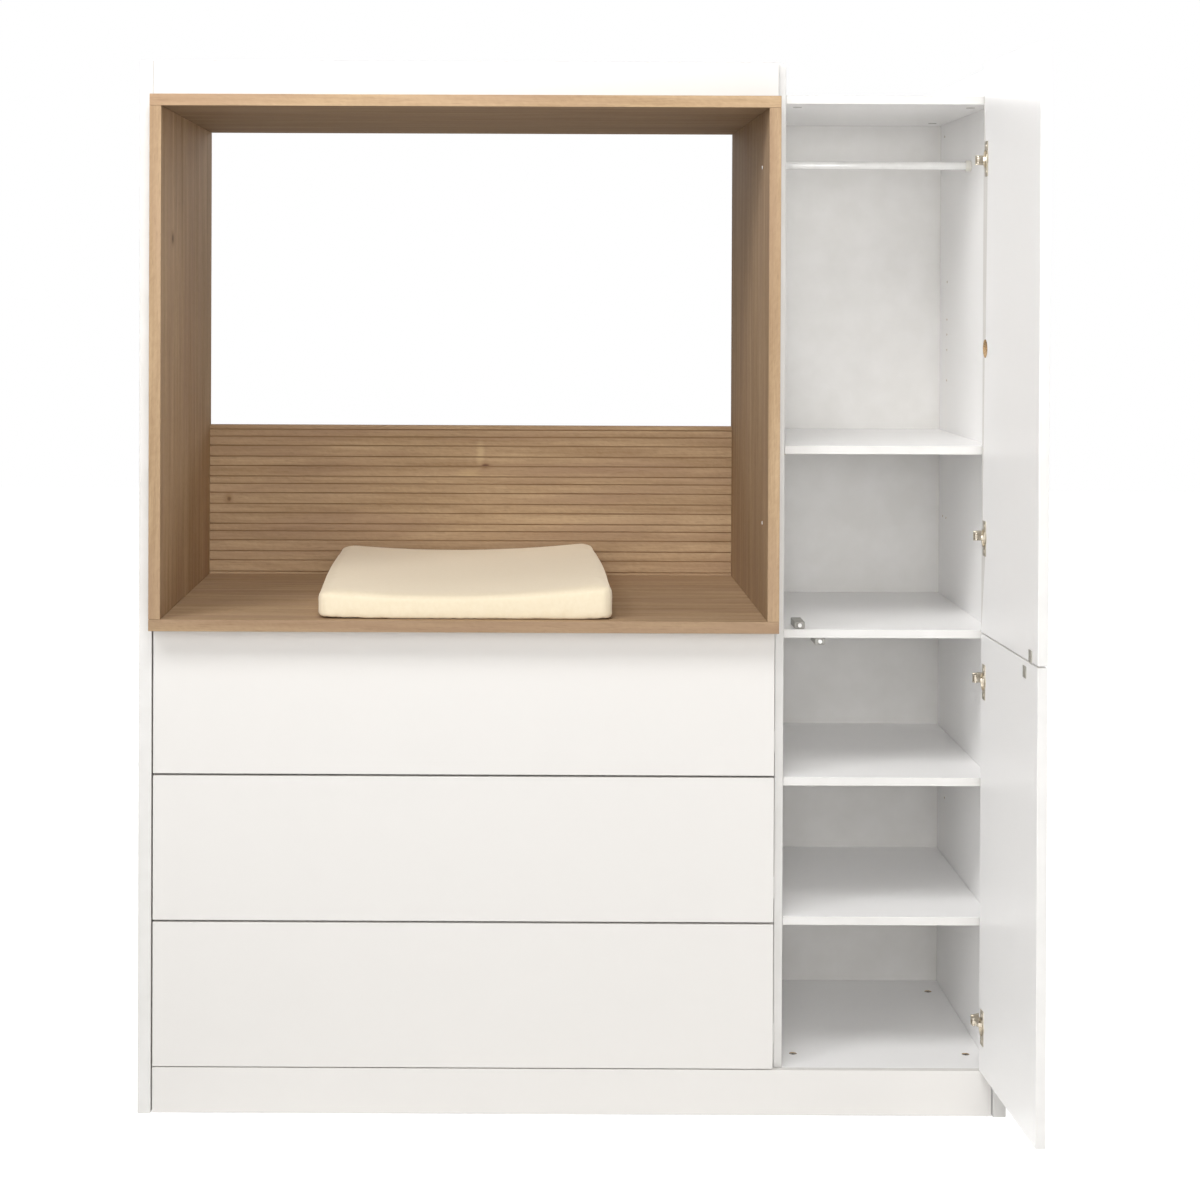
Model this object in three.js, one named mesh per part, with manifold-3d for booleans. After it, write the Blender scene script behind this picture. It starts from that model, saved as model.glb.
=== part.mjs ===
// Changing dresser: three wide drawers under an open changing niche of oak-look board,
// and a narrow wardrobe bay with two doors on concealed cup hinges.
// Millimetres. X runs to the right along the front, Y to the back, Z up.
// Places are worked out from the left outer face, the front plane of the drawers and the floor,
// and the whole stands with its origin at the bottom centre of its box, doors open.
import * as THREE from 'three';
import { mergeVertices } from 'three/addons/utils/BufferGeometryUtils.js';
import Module from 'manifold-3d';

// Whole object
const overall_height = 2000;
const body_depth = 693;
const seat_gap = 0.3;
const cut_overrun = 5;

// Boards of the white body
const side_thickness = 25;
const board_thickness = 16;
const back_thickness = 8;
const front_thickness = 18;
const drawer_bay_width = 1185;
const wardrobe_bay_width = 399;
const inside_setback = 20;
const back_recess = 110;
const groove_depth = 8;
const partition_groove_share = 0.3;
const shelf_side_clearance = 0.6;

// Plinth and bottom
const plinth_top_z = 88;
const plinth_floor_gap = 2;
const plinth_end_gap = 3;
const rear_plinth_setback = 63;

// Top
const fascia_height = 64;
const wardrobe_top_drop = 60.5;

// Changing niche of oak-look board
const niche_board = 22;
const niche_top_gap = 3;
const niche_height = 1009;
const niche_overhang = 47;

// Ribbed panel at the back of the niche
const ribbed_thickness = 22;
const ribbed_height = 326;
const groove_width = 3.2;
const groove_cut = 4.5;
const groove_slope = 1.2;
const rib_pitches = [15.7, 20.2, 23, 20.2, 23.7];

// Drawers
const drawer_count = 3;
const drawer_gap = 4;
const drawer_side_gap = 3;
const drawer_rear_clearance = 64.7;
const drawer_box_share = 0.72;
const drawer_lift = 22;
const drawer_board = 16;
const drawer_bottom_board = 8;
const drawer_bottom_lift = 14;
const drawer_bottom_groove = 7;

// Runners: at each side a channel on the cabinet and, running inside it, one on the drawer
const runner_rear_clearance = 63;
const runner_height = 40;
const runner_depth = 6.5;
const runner_web_thickness = 1.5;
const runner_lip_thickness = 2;
const runner_lift = 40;
const drawer_side_clearance = 12.3;

// Wardrobe shelves: one fixed level with the niche's floor board, and loose ones at shares
// of the heights above and below it
const fixed_shelf_drop = 1;
const upper_shelf_shares = [0.3502];
const lower_shelf_shares = [0.6623, 0.3437];
const pin_radius = 2.5;
const pin_in_panel = 9;
const pin_out = 8;
const pin_edge_distance = 50;

// Clothes rail
const rail_radius = 8;
const rail_drop = 103.5;
const rail_y = 258;
const socket_radius = 11;
const socket_depth = 11;
const socket_base = 2;

// Doors
const door_side_gap = 4;
const door_overlay = 16;
const door_top_gap = 2;
const door_bottom_gap = 2;
const door_seam_drop = 2;
const door_seam_gap = 3;
const door_open_degrees = 92;

// Concealed cup hinges
const cup_bore_radius = 17.5;
const cup_bore_depth = 12.3;
const cup_edge_distance = 3;
const cup_wall = 0.9;
const flange_thickness = 1;
const flange_height = 66;
const flange_width = 22;
const flange_offset = 5;
const flange_collar = 2;
const upper_hinge_inset = 180;
const lower_hinge_inset = 88;
const pole_inset = 7;
const pole_forward = 2;
const cup_pin_inset = 12.2;
const cup_pin_y = 14;
const arm_reach = 31;
const pin_size = 1.4;
const eye_radius = 3;
const link_height = 8;
const link_thickness = 2.2;
const link_hook_rise = 5.4;
const link_hook_back = 3.1;
const arm_height = 18;
const arm_slot = 9;
const arm_tip_height = 15;
const arm_thickness = 2.6;
const arm_base_y = 40;
const arm_base_length = 34;
const arm_base_width = 9;
const plate_thickness = 3;
const plate_height = 48;
const plate_arm_height = 24;
const plate_cross_width = 16;

// Push latches beside the fixed shelf
const latch_width = 20;
const latch_height = 14;
const latch_length = 62;
const latch_setback = 4;
const upper_latch_inset = 47;
const lower_latch_inset = 86;
const plunger_radius = 4;
const plunger_length = 50;
const strike_size = 21;
const strike_thickness = 1.2;

// Changing pad, raised along both long sides
const pad_width = 547;
const pad_depth = 680;
const pad_height = 62;
const pad_valley = 42;
const pad_left_margin = 305.7;
const pad_rear_gap = 11;
const pad_steps_across = 30;
const pad_steps_along = 36;
const pad_edge_round = 26;
const pad_side_draw = 7;
const pad_crown = 2.5;
const pad_wall_exponent = 2.6;
const pad_crowding_share = 0.6;

// Facets of round pieces
const fine_segments = 32;
const round_segments = 20;
const pin_segments = 8;

// Derived places of the body
const left_inner_x = side_thickness;
const partition_left_x = left_inner_x + drawer_bay_width;
const partition_right_x = partition_left_x + board_thickness;
const right_inner_x = partition_right_x + wardrobe_bay_width;
const overall_width = right_inner_x + side_thickness;
const back_face_y = body_depth - back_recess;
const fascia_bottom_z = overall_height - fascia_height;
const wardrobe_top_z = overall_height - wardrobe_top_drop;
const niche_top_z = fascia_bottom_z - niche_top_gap;
const niche_bottom_z = niche_top_z - niche_height;
const shut_face_y = front_thickness;
const groove_width_back = back_thickness + 2 * seat_gap;

const wasm = await Module();
wasm.setup();

// The finishes seen in the photograph
function finish(color, roughness, metalness) {
  return () => new THREE.MeshStandardMaterial({ color, roughness, metalness });
}
const white_board = finish(0xf3f1ec, 0.45, 0);
const inner_board = finish(0xe6e3df, 0.5, 0);
const oak_board = finish(0xb8946c, 0.55, 0);
const white_metal = finish(0xf1f1ef, 0.35, 0.1);
const nickel = finish(0xb9b6b0, 0.3, 1);
const zinc = finish(0xa9abad, 0.4, 1);
const grey_plastic = finish(0xd2d2d0, 0.5, 0);
const cream_cloth = finish(0xf6ead0, 0.95, 0);

// A closed mesh as a solid that can be joined and cut
function solidOf(geometry) {
  const bare = geometry.clone();
  bare.deleteAttribute('normal');
  bare.deleteAttribute('uv');
  const merged = mergeVertices(bare);
  return new wasm.Manifold(new wasm.Mesh({
    numProp: 3,
    vertProperties: new Float32Array(merged.attributes.position.array),
    triVerts: new Uint32Array(merged.index.array),
  }));
}

function geometryOf(solid) {
  const mesh = solid.getMesh();
  const geometry = new THREE.BufferGeometry();
  geometry.setAttribute('position', new THREE.BufferAttribute(mesh.vertProperties, mesh.numProp));
  geometry.setIndex(new THREE.BufferAttribute(mesh.triVerts, 1));
  geometry.computeVertexNormals();
  return geometry;
}

function joined(solids) {
  return solids.reduce((whole, solid) => whole.add(solid));
}

function middle(range) {
  return (range[0] + range[1]) / 2;
}

function span(range) {
  return range[1] - range[0];
}

// A plain block between three pairs of limits
function blockGeometry(x, y, z) {
  const geometry = new THREE.BoxGeometry(span(x), span(y), span(z));
  return geometry.translate(middle(x), middle(y), middle(z));
}

function blockSolid(x, y, z) {
  return solidOf(blockGeometry(x, y, z));
}

// A round bar along one axis, from its start to its end
function barGeometry(axis, radius, from, to, across, segments) {
  const geometry = new THREE.CylinderGeometry(radius, radius, to - from, segments);
  if (axis === 'x') geometry.rotateZ(-Math.PI / 2);
  if (axis === 'z') geometry.rotateX(Math.PI / 2);
  const centre = (from + to) / 2;
  if (axis === 'x') return geometry.translate(centre, across[0], across[1]);
  if (axis === 'y') return geometry.translate(across[0], centre, across[1]);
  return geometry.translate(across[0], across[1], centre);
}

function barSolid(axis, radius, from, to, across, segments) {
  return solidOf(barGeometry(axis, radius, from, to, across, segments));
}

// An outline drawn in plan, raised from one height to another
function raisedSolid(shape, from, to, segments) {
  const geometry = new THREE.ExtrudeGeometry(shape, {
    depth: to - from, bevelEnabled: false, curveSegments: segments,
  });
  return solidOf(geometry.translate(0, 0, from));
}

function pieceOf(parent, name, geometry, makeFinish, place = [0, 0, 0]) {
  const piece = new THREE.Mesh(geometry, makeFinish());
  piece.name = name;
  piece.position.set(...place);
  parent.add(piece);
  return piece;
}

// A board between limits, placed at its own centre
function board(parent, name, makeFinish, x, y, z) {
  const geometry = new THREE.BoxGeometry(span(x), span(y), span(z));
  return pieceOf(parent, name, geometry, makeFinish, [middle(x), middle(y), middle(z)]);
}

const dresser = new THREE.Group();

// Heights of the drawers, evenly shared between the plinth and the niche
const drawer_pitch = (niche_bottom_z - plinth_top_z) / drawer_count;
const drawer_front_height = drawer_pitch - drawer_gap;

function drawerBottom(row) {
  return niche_bottom_z - row * drawer_pitch + drawer_gap / 2;
}

// Top faces of the wardrobe's shelves, from the top one down
const fixed_top = niche_bottom_z - fixed_shelf_drop;
const upper_height = wardrobe_top_z - board_thickness - fixed_top;
const lower_height = fixed_top - plinth_top_z;
const upper_tops = upper_shelf_shares.map((share) => fixed_top + share * upper_height);
const lower_tops = lower_shelf_shares.map((share) => plinth_top_z + share * lower_height);
const shelf_tops = [...upper_tops, fixed_top, ...lower_tops];

// Places of the shelf pins: front and back in each side of the wardrobe bay
const pin_rows_y = [inside_setback + pin_edge_distance, back_face_y - pin_edge_distance];
const pin_heights = [...upper_tops, ...lower_tops]
  .map((top) => top - board_thickness - seat_gap - pin_radius);

// Pins set in a face, standing out of it in the given direction
function shelfPins(face_x, direction) {
  const pins = [];
  const ends = [face_x - direction * pin_in_panel, face_x + direction * pin_out];
  for (const z of pin_heights) {
    for (const y of pin_rows_y) {
      pins.push(barSolid('x', pin_radius, Math.min(...ends), Math.max(...ends), [y, z],
        pin_segments));
    }
  }
  return joined(pins);
}

// Groove that holds the edge of a thin back panel
function backGroove(face_x, direction, z) {
  const limits = [face_x - direction * cut_overrun, face_x + direction * groove_depth];
  const x = [Math.min(...limits), Math.max(...limits)];
  return blockSolid(x, [back_face_y - seat_gap, back_face_y - seat_gap + groove_width_back], z);
}

const wardrobe_back_z = [plinth_top_z - board_thickness, wardrobe_top_z];
const drawer_back_z = [plinth_top_z - board_thickness, niche_bottom_z - seat_gap];

function grooveHeights(range) {
  return [range[0] - seat_gap, range[1] + seat_gap];
}

// Upright boards
function addUprights() {
  const whole_y = [0, body_depth];
  const whole_z = [0, overall_height];
  const left = blockSolid([0, side_thickness], whole_y, whole_z)
    .subtract(backGroove(left_inner_x, -1, grooveHeights(drawer_back_z)))
    .add(cabinetChannels());
  pieceOf(dresser, 'left_side_panel', geometryOf(left), white_board);
  const right = blockSolid([right_inner_x, overall_width], whole_y, whole_z)
    .subtract(backGroove(right_inner_x, 1, grooveHeights(wardrobe_back_z)))
    .add(shelfPins(right_inner_x, -1));
  pieceOf(dresser, 'right_side_panel', geometryOf(right), white_board);
  const partition = blockSolid([partition_left_x, partition_right_x],
    [inside_setback, body_depth], whole_z)
    .subtract(partitionGroove(partition_left_x, 1, drawer_back_z))
    .subtract(partitionGroove(partition_right_x, -1, wardrobe_back_z))
    .add(mirrored(cabinetChannels()))
    .add(shelfPins(partition_right_x, 1));
  pieceOf(dresser, 'mid_partition', geometryOf(partition), white_board);
}

// The partition is thin, so its two grooves are shallower
function partitionGroove(face_x, direction, range) {
  const limits = [face_x - direction * cut_overrun,
    face_x + direction * board_thickness * partition_groove_share];
  const x = [Math.min(...limits), Math.max(...limits)];
  const y = [back_face_y - seat_gap, back_face_y - seat_gap + groove_width_back];
  return blockSolid(x, y, grooveHeights(range));
}

// Boards that lie flat between the uprights, the plinths and the thin backs
function addFlatBoards() {
  const left_x = [left_inner_x + seat_gap, partition_left_x - seat_gap];
  const right_x = [partition_right_x + seat_gap, right_inner_x - seat_gap];
  const inner_y = [board_thickness + seat_gap, back_face_y - seat_gap];
  const bottom_z = [plinth_top_z - board_thickness, plinth_top_z];
  board(dresser, 'top_panel', white_board, left_x, [board_thickness + seat_gap, body_depth],
    [overall_height - board_thickness, overall_height]);
  board(dresser, 'top_fascia', white_board, left_x, [0, board_thickness],
    [fascia_bottom_z, overall_height]);
  board(dresser, 'drawer_bay_bottom', inner_board, left_x, inner_y, bottom_z);
  board(dresser, 'wardrobe_bottom', inner_board, right_x, inner_y, bottom_z);
  board(dresser, 'wardrobe_top', inner_board, right_x, [inside_setback, back_face_y - seat_gap],
    [wardrobe_top_z - board_thickness, wardrobe_top_z]);
  board(dresser, 'front_plinth', white_board,
    [left_inner_x + plinth_end_gap, right_inner_x - plinth_end_gap], [0, board_thickness],
    [plinth_floor_gap, plinth_top_z]);
  const rear_plinth_y = back_face_y - rear_plinth_setback;
  board(dresser, 'rear_plinth', inner_board, left_x,
    [rear_plinth_y, rear_plinth_y + board_thickness],
    [plinth_floor_gap, plinth_top_z - board_thickness - seat_gap]);
  const back_y = [back_face_y, back_face_y + back_thickness];
  const thin = board_thickness * partition_groove_share - seat_gap;
  board(dresser, 'drawer_bay_back', inner_board,
    [left_inner_x - groove_depth + seat_gap, partition_left_x + thin], back_y, drawer_back_z);
  board(dresser, 'wardrobe_back', inner_board,
    [partition_right_x - thin, right_inner_x + groove_depth - seat_gap], back_y, wardrobe_back_z);
}

// Open box of the niche, with the side boards between its top and bottom
function addNiche() {
  const x = [left_inner_x + seat_gap, partition_left_x - seat_gap];
  const y = [-niche_overhang, body_depth];
  const upright_z = [niche_bottom_z + niche_board + seat_gap, niche_top_z - niche_board - seat_gap];
  board(dresser, 'niche_bottom_board', oak_board, x, y, [niche_bottom_z, niche_bottom_z + niche_board]);
  board(dresser, 'niche_top_board', oak_board, x, y, [niche_top_z - niche_board, niche_top_z]);
  board(dresser, 'niche_left_board', oak_board, [x[0], x[0] + niche_board], y, upright_z);
  board(dresser, 'niche_right_board', oak_board, [x[1] - niche_board, x[1]], y, upright_z);
  const face_y = body_depth - ribbed_thickness;
  const foot_z = niche_bottom_z + niche_board + seat_gap;
  const panel_x = [x[0] + niche_board + seat_gap, x[1] - niche_board - seat_gap];
  const geometry = ribbedGeometry(span(panel_x));
  pieceOf(dresser, 'niche_ribbed_panel', geometry, oak_board, [panel_x[0], face_y, foot_z]);
}

// Section of the ribbed panel, drawn with depth across and height up, then run along X
function ribbedGeometry(length) {
  const section = new THREE.Shape();
  section.moveTo(ribbed_thickness, 0);
  section.lineTo(ribbed_thickness, ribbed_height);
  section.lineTo(0, ribbed_height);
  let z = ribbed_height;
  let rib = 0;
  const half = groove_width / 2;
  while (z - rib_pitches[rib % rib_pitches.length] > groove_width) {
    z -= rib_pitches[rib % rib_pitches.length];
    section.lineTo(0, z + half + groove_slope);
    section.lineTo(groove_cut, z + half);
    section.lineTo(groove_cut, z - half);
    section.lineTo(0, z - half - groove_slope);
    rib += 1;
  }
  section.lineTo(0, 0);
  section.closePath();
  const geometry = new THREE.ExtrudeGeometry(section, { depth: length, bevelEnabled: false });
  const turn = new THREE.Matrix4().makeBasis(
    new THREE.Vector3(0, 1, 0), new THREE.Vector3(0, 0, 1), new THREE.Vector3(1, 0, 0));
  return geometry.applyMatrix4(turn);
}

// Shelves of the wardrobe bay; their pins stand in the uprights
function addShelves() {
  const loose_x = [partition_right_x + shelf_side_clearance, right_inner_x - shelf_side_clearance];
  const fixed_x = [partition_right_x + seat_gap, right_inner_x - seat_gap];
  shelf_tops.forEach((top, index) => {
    const fixed = top === fixed_top;
    board(dresser, `shelf_${index + 1}`, inner_board, fixed ? fixed_x : loose_x,
      [inside_setback, back_face_y - seat_gap], [top - board_thickness, top]);
  });
}

// Clothes rail in a cup-shaped socket at each end
function addRail() {
  const rail_z = wardrobe_top_z - board_thickness - rail_drop;
  const seat = socket_base + seat_gap;
  const from = partition_right_x + seat_gap + seat;
  const to = right_inner_x - seat_gap - seat;
  const rail = barGeometry('x', rail_radius, from, to, [0, 0], fine_segments);
  pieceOf(dresser, 'clothes_rail', rail, white_metal, [0, rail_y, rail_z]);
  const outline = [
    new THREE.Vector2(0, 0),
    new THREE.Vector2(socket_radius, 0),
    new THREE.Vector2(socket_radius, socket_depth),
    new THREE.Vector2(rail_radius + seat_gap, socket_depth),
    new THREE.Vector2(rail_radius + seat_gap, socket_base),
    new THREE.Vector2(0, socket_base),
  ];
  const left = new THREE.LatheGeometry(outline, fine_segments).rotateZ(-Math.PI / 2);
  pieceOf(dresser, 'left_rail_socket', left, white_metal,
    [partition_right_x + seat_gap, rail_y, rail_z]);
  const right = new THREE.LatheGeometry(outline, fine_segments).rotateZ(Math.PI / 2);
  pieceOf(dresser, 'right_rail_socket', right, white_metal,
    [right_inner_x - seat_gap, rail_y, rail_z]);
}

// One runner member: a channel section with its web on the carrying board, run along Y
function channelSolid(depth, height, web_first, x, z) {
  const y = [inside_setback, back_face_y - runner_rear_clearance];
  const inside = height / 2 - runner_lip_thickness;
  const cut_x = web_first ? [runner_web_thickness, depth + cut_overrun]
    : [-cut_overrun, depth - runner_web_thickness];
  return blockSolid([0, depth], y, [-height / 2, height / 2])
    .subtract(blockSolid(cut_x, [y[0] - cut_overrun, y[1] + cut_overrun], [-inside, inside]))
    .translate([x, 0, z]);
}

function mirrored(solid) {
  return solid.mirror([1, 0, 0]).translate([left_inner_x + partition_left_x, 0, 0]);
}

// The drawer's left runner, between the side panel and the drawer's side
const drawer_channel_x = left_inner_x + runner_web_thickness + seat_gap;
const drawer_side_x = left_inner_x + drawer_side_clearance;
const drawer_channel_height = runner_height - 2 * (runner_lip_thickness + seat_gap);

function runnerHeight(row) {
  return drawerBottom(row) + drawer_lift + runner_lift;
}

function cabinetChannels() {
  const channels = [];
  for (let row = 1; row <= drawer_count; row += 1) {
    channels.push(channelSolid(runner_depth, runner_height, true, left_inner_x,
      runnerHeight(row)));
  }
  return joined(channels);
}

// One drawer: front, two sides, back and a bottom held in grooves
function addDrawer(row) {
  const low = drawerBottom(row);
  board(dresser, `drawer_${row}_front`, white_board,
    [left_inner_x + drawer_side_gap, partition_left_x - drawer_side_gap],
    [0, front_thickness], [low, low + drawer_front_height]);
  const box_z = [low + drawer_lift, low + drawer_lift + drawer_front_height * drawer_box_share];
  const box_y = [shut_face_y + seat_gap, back_face_y - drawer_rear_clearance];
  const bottom_z = [box_z[0] + drawer_bottom_lift, box_z[0] + drawer_bottom_lift + drawer_bottom_board];
  const side_x = [drawer_side_x, drawer_side_x + drawer_board];
  const far_x = left_inner_x + partition_left_x;
  const groove_z = [bottom_z[0] - seat_gap, bottom_z[1] + seat_gap];
  const channel = channelSolid(drawer_side_x - drawer_channel_x, drawer_channel_height, false,
    drawer_channel_x, runnerHeight(row));
  const side = blockSolid(side_x, box_y, box_z).add(channel).subtract(blockSolid(
    [side_x[1] - drawer_bottom_groove, side_x[1] + cut_overrun],
    [box_y[0] - cut_overrun, box_y[1] + cut_overrun], groove_z));
  pieceOf(dresser, `drawer_${row}_left_side`, geometryOf(side), inner_board);
  pieceOf(dresser, `drawer_${row}_right_side`, geometryOf(mirrored(side)), inner_board);
  const inside_x = [side_x[1] + seat_gap, far_x - side_x[1] - seat_gap];
  board(dresser, `drawer_${row}_back`, inner_board, inside_x,
    [box_y[1] - drawer_board, box_y[1]], [bottom_z[1] + seat_gap, box_z[1]]);
  const reach = drawer_bottom_groove - seat_gap;
  board(dresser, `drawer_${row}_bottom`, inner_board,
    [side_x[1] - reach, far_x - side_x[1] + reach], box_y, bottom_z);
}

// Hinge kinematics, in plan. The door's shut and open places share one pole.
// The arm's pin lies as far from the cup's pin in one place as in the other,
// on the line from the pole halfway between them.
const pole = [right_inner_x - pole_inset, -pole_forward];
const cup_pin = [right_inner_x - cup_pin_inset, cup_pin_y];
const open_angle = THREE.MathUtils.degToRad(door_open_degrees);
const pin_bearing = Math.atan2(cup_pin[1] - pole[1], cup_pin[0] - pole[0]);
const arm_pin = [pole[0] + arm_reach * Math.cos(pin_bearing + open_angle / 2),
  pole[1] + arm_reach * Math.sin(pin_bearing + open_angle / 2)];

function turnedAboutPole(point) {
  const x = point[0] - pole[0];
  const y = point[1] - pole[1];
  return [pole[0] + x * Math.cos(open_angle) - y * Math.sin(open_angle),
    pole[1] + x * Math.sin(open_angle) + y * Math.cos(open_angle)];
}
const cup_pin_open = turnedAboutPole(cup_pin);
const link_length = Math.hypot(cup_pin_open[0] - arm_pin[0], cup_pin_open[1] - arm_pin[1]);
const link_angle = Math.atan2(cup_pin_open[1] - arm_pin[1], cup_pin_open[0] - arm_pin[0]);
const cup_centre_x = right_inner_x - door_side_gap - cup_edge_distance - cup_bore_radius;

// A door hangs in a group that turns about the pole, and is drawn shut
function doorGroup() {
  const swing = new THREE.Group();
  swing.position.set(pole[0], pole[1], 0);
  swing.rotation.z = open_angle;
  dresser.add(swing);
  const shut = new THREE.Group();
  shut.position.set(-pole[0], -pole[1], 0);
  swing.add(shut);
  return shut;
}

function cupBore(z) {
  return barSolid('y', cup_bore_radius, shut_face_y - cup_bore_depth, shut_face_y + cut_overrun,
    [cup_centre_x, z], fine_segments);
}

// Steel cup with its collar, its two wings and the pin across its mouth
function cupSolid(z) {
  const outer = cup_bore_radius - seat_gap;
  const face = shut_face_y + seat_gap;
  const top = face + flange_thickness;
  const floor = shut_face_y - cup_bore_depth + seat_gap;
  const across = [cup_centre_x, z];
  const wings_x = [cup_centre_x - flange_offset - flange_width / 2,
    cup_centre_x - flange_offset + flange_width / 2];
  const wings = blockSolid(wings_x, [face, top], [z - flange_height / 2, z + flange_height / 2]);
  const shell = barSolid('y', outer, floor, top, across, fine_segments)
    .add(barSolid('y', outer + flange_collar, face, top, across, fine_segments))
    .add(wings)
    .subtract(barSolid('y', outer - cup_wall, floor + cup_wall, top + cut_overrun, across,
      fine_segments));
  const pin_far = cup_pin[0] - cup_centre_x + pin_size;
  const half_chord = Math.sqrt((outer - cup_wall / 2) ** 2 - pin_far ** 2);
  const pin = barSolid('z', pin_size, z - half_chord, z + half_chord, cup_pin, pin_segments);
  return shell.add(pin);
}

// A flat strap between two points in plan
function strapSolid(from, to, low, high) {
  const length = Math.hypot(to[0] - from[0], to[1] - from[1]);
  const geometry = new THREE.BoxGeometry(length, link_thickness, high - low);
  geometry.rotateZ(Math.atan2(to[1] - from[1], to[0] - from[0]));
  geometry.translate((from[0] + to[0]) / 2, (from[1] + to[1]) / 2, (low + high) / 2);
  return solidOf(geometry);
}

// Hooked link, drawn from the arm's pin at the origin along X to the cup's pin.
// The hook carries it over the cup's rim when the door is open.
function linkSolid(z) {
  const low = z - link_height / 2;
  const high = z + link_height / 2;
  const near = [0, 0];
  const far = [link_length, 0];
  const hook = [link_length - link_hook_back, -link_hook_rise];
  const hole = pin_size + seat_gap;
  const holeAt = (point) => barSolid('z', hole, low - cut_overrun, high + cut_overrun, point,
    pin_segments);
  return strapSolid(near, hook, low, high)
    .add(strapSolid(hook, far, low, high))
    .add(barSolid('z', link_thickness / 2, low, high, hook, pin_segments))
    .add(barSolid('z', eye_radius, low, high, near, round_segments))
    .add(barSolid('z', eye_radius, low, high, far, round_segments))
    .subtract(holeAt(near))
    .subtract(holeAt(far));
}

// Cranked arm from its mounting plate to the pin inside the shut cup
function armSolid(z) {
  const wall_x = right_inner_x - seat_gap - plate_thickness;
  const crank_y = shut_face_y + seat_gap + flange_thickness + 2 * arm_thickness;
  const shape = new THREE.Shape();
  shape.moveTo(wall_x, arm_base_y + arm_base_length);
  shape.lineTo(wall_x, arm_base_y);
  shape.lineTo(wall_x - arm_base_width, crank_y);
  shape.lineTo(arm_pin[0] + eye_radius, crank_y);
  shape.lineTo(arm_pin[0] + eye_radius, arm_pin[1]);
  shape.absarc(arm_pin[0], arm_pin[1], eye_radius, 0, -Math.PI, true);
  shape.lineTo(arm_pin[0] - eye_radius, crank_y + arm_thickness);
  shape.lineTo(wall_x - arm_base_width, arm_base_y + arm_thickness);
  shape.lineTo(wall_x - arm_base_width, arm_base_y + arm_base_length);
  shape.closePath();
  const low = z - arm_height / 2;
  const high = z + arm_height / 2;
  const slot_y = [arm_pin[1] - eye_radius - cut_overrun, crank_y - seat_gap];
  const slot_x = [arm_pin[0] - eye_radius - cut_overrun, arm_pin[0] + eye_radius + cut_overrun];
  const slot = blockSolid(slot_x, slot_y, [z - arm_slot / 2, z + arm_slot / 2]);
  const tip_low = z - arm_tip_height / 2;
  const tip_high = z + arm_tip_height / 2;
  return raisedSolid(shape, low, high, pin_segments)
    .subtract(slot)
    .subtract(blockSolid(slot_x, slot_y, [low - cut_overrun, tip_low]))
    .subtract(blockSolid(slot_x, slot_y, [tip_high, high + cut_overrun]))
    .add(barSolid('z', pin_size, tip_low, tip_high, arm_pin, pin_segments))
    .add(plateSolid(z));
}

// Cross-shaped plate on the side panel under each arm
function plateSolid(z) {
  const x = [right_inner_x - seat_gap - plate_thickness, right_inner_x - seat_gap];
  const long_y = [arm_base_y, arm_base_y + arm_base_length];
  const cross_y = [middle(long_y) - plate_cross_width / 2, middle(long_y) + plate_cross_width / 2];
  return blockSolid(x, long_y, [z - plate_arm_height / 2, z + plate_arm_height / 2])
    .add(blockSolid(x, cross_y, [z - plate_height / 2, z + plate_height / 2]));
}

function addDoor(name, z, hinge_inset, spare_bore, latch_inset, strike_z) {
  const shut = doorGroup();
  const x = [partition_right_x - door_overlay, right_inner_x - door_side_gap];
  const hinge_heights = [z[1] - hinge_inset, z[0] + hinge_inset];
  let panel = blockSolid(x, [0, front_thickness], z);
  const bores = spare_bore ? [...hinge_heights, middle(z)] : hinge_heights;
  for (const height of bores) {
    panel = panel.subtract(cupBore(height));
  }
  pieceOf(shut, `${name}_door`, geometryOf(panel), white_board);
  const strike_x = partition_left_x + latch_inset;
  board(shut, `${name}_strike_plate`, zinc,
    [strike_x - strike_size / 2, strike_x + strike_size / 2],
    [shut_face_y + seat_gap, shut_face_y + seat_gap + strike_thickness],
    [strike_z - strike_size / 2, strike_z + strike_size / 2]);
  const links = new THREE.Group();
  links.position.set(arm_pin[0], arm_pin[1], 0);
  links.rotation.z = link_angle;
  dresser.add(links);
  hinge_heights.forEach((height, index) => {
    const hinge = `${name}_hinge_${index + 1}`;
    pieceOf(shut, `${hinge}_cup`, geometryOf(cupSolid(height)), nickel);
    pieceOf(links, `${hinge}_link`, geometryOf(linkSolid(height)), nickel);
    pieceOf(dresser, `${hinge}_arm`, geometryOf(armSolid(height)), nickel);
  });
}

// Push latch: a housing with a round bore and the plunger in it
function addLatch(name, inset, z) {
  const x = partition_left_x + inset;
  const front_y = inside_setback + latch_setback;
  const tip_y = shut_face_y + seat_gap + strike_thickness + seat_gap;
  const housing = blockSolid([x - latch_width / 2, x + latch_width / 2],
    [front_y, front_y + latch_length], [z - latch_height / 2, z + latch_height / 2])
    .subtract(barSolid('y', plunger_radius + seat_gap, front_y - cut_overrun,
      tip_y + plunger_length + cut_overrun, [x, z], round_segments));
  pieceOf(dresser, `${name}_latch_housing`, geometryOf(housing), grey_plastic);
  const plunger = new THREE.CylinderGeometry(plunger_radius, plunger_radius, plunger_length,
    round_segments);
  pieceOf(dresser, `${name}_latch_plunger`, plunger, grey_plastic,
    [x, tip_y + plunger_length / 2, z]);
}

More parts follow.
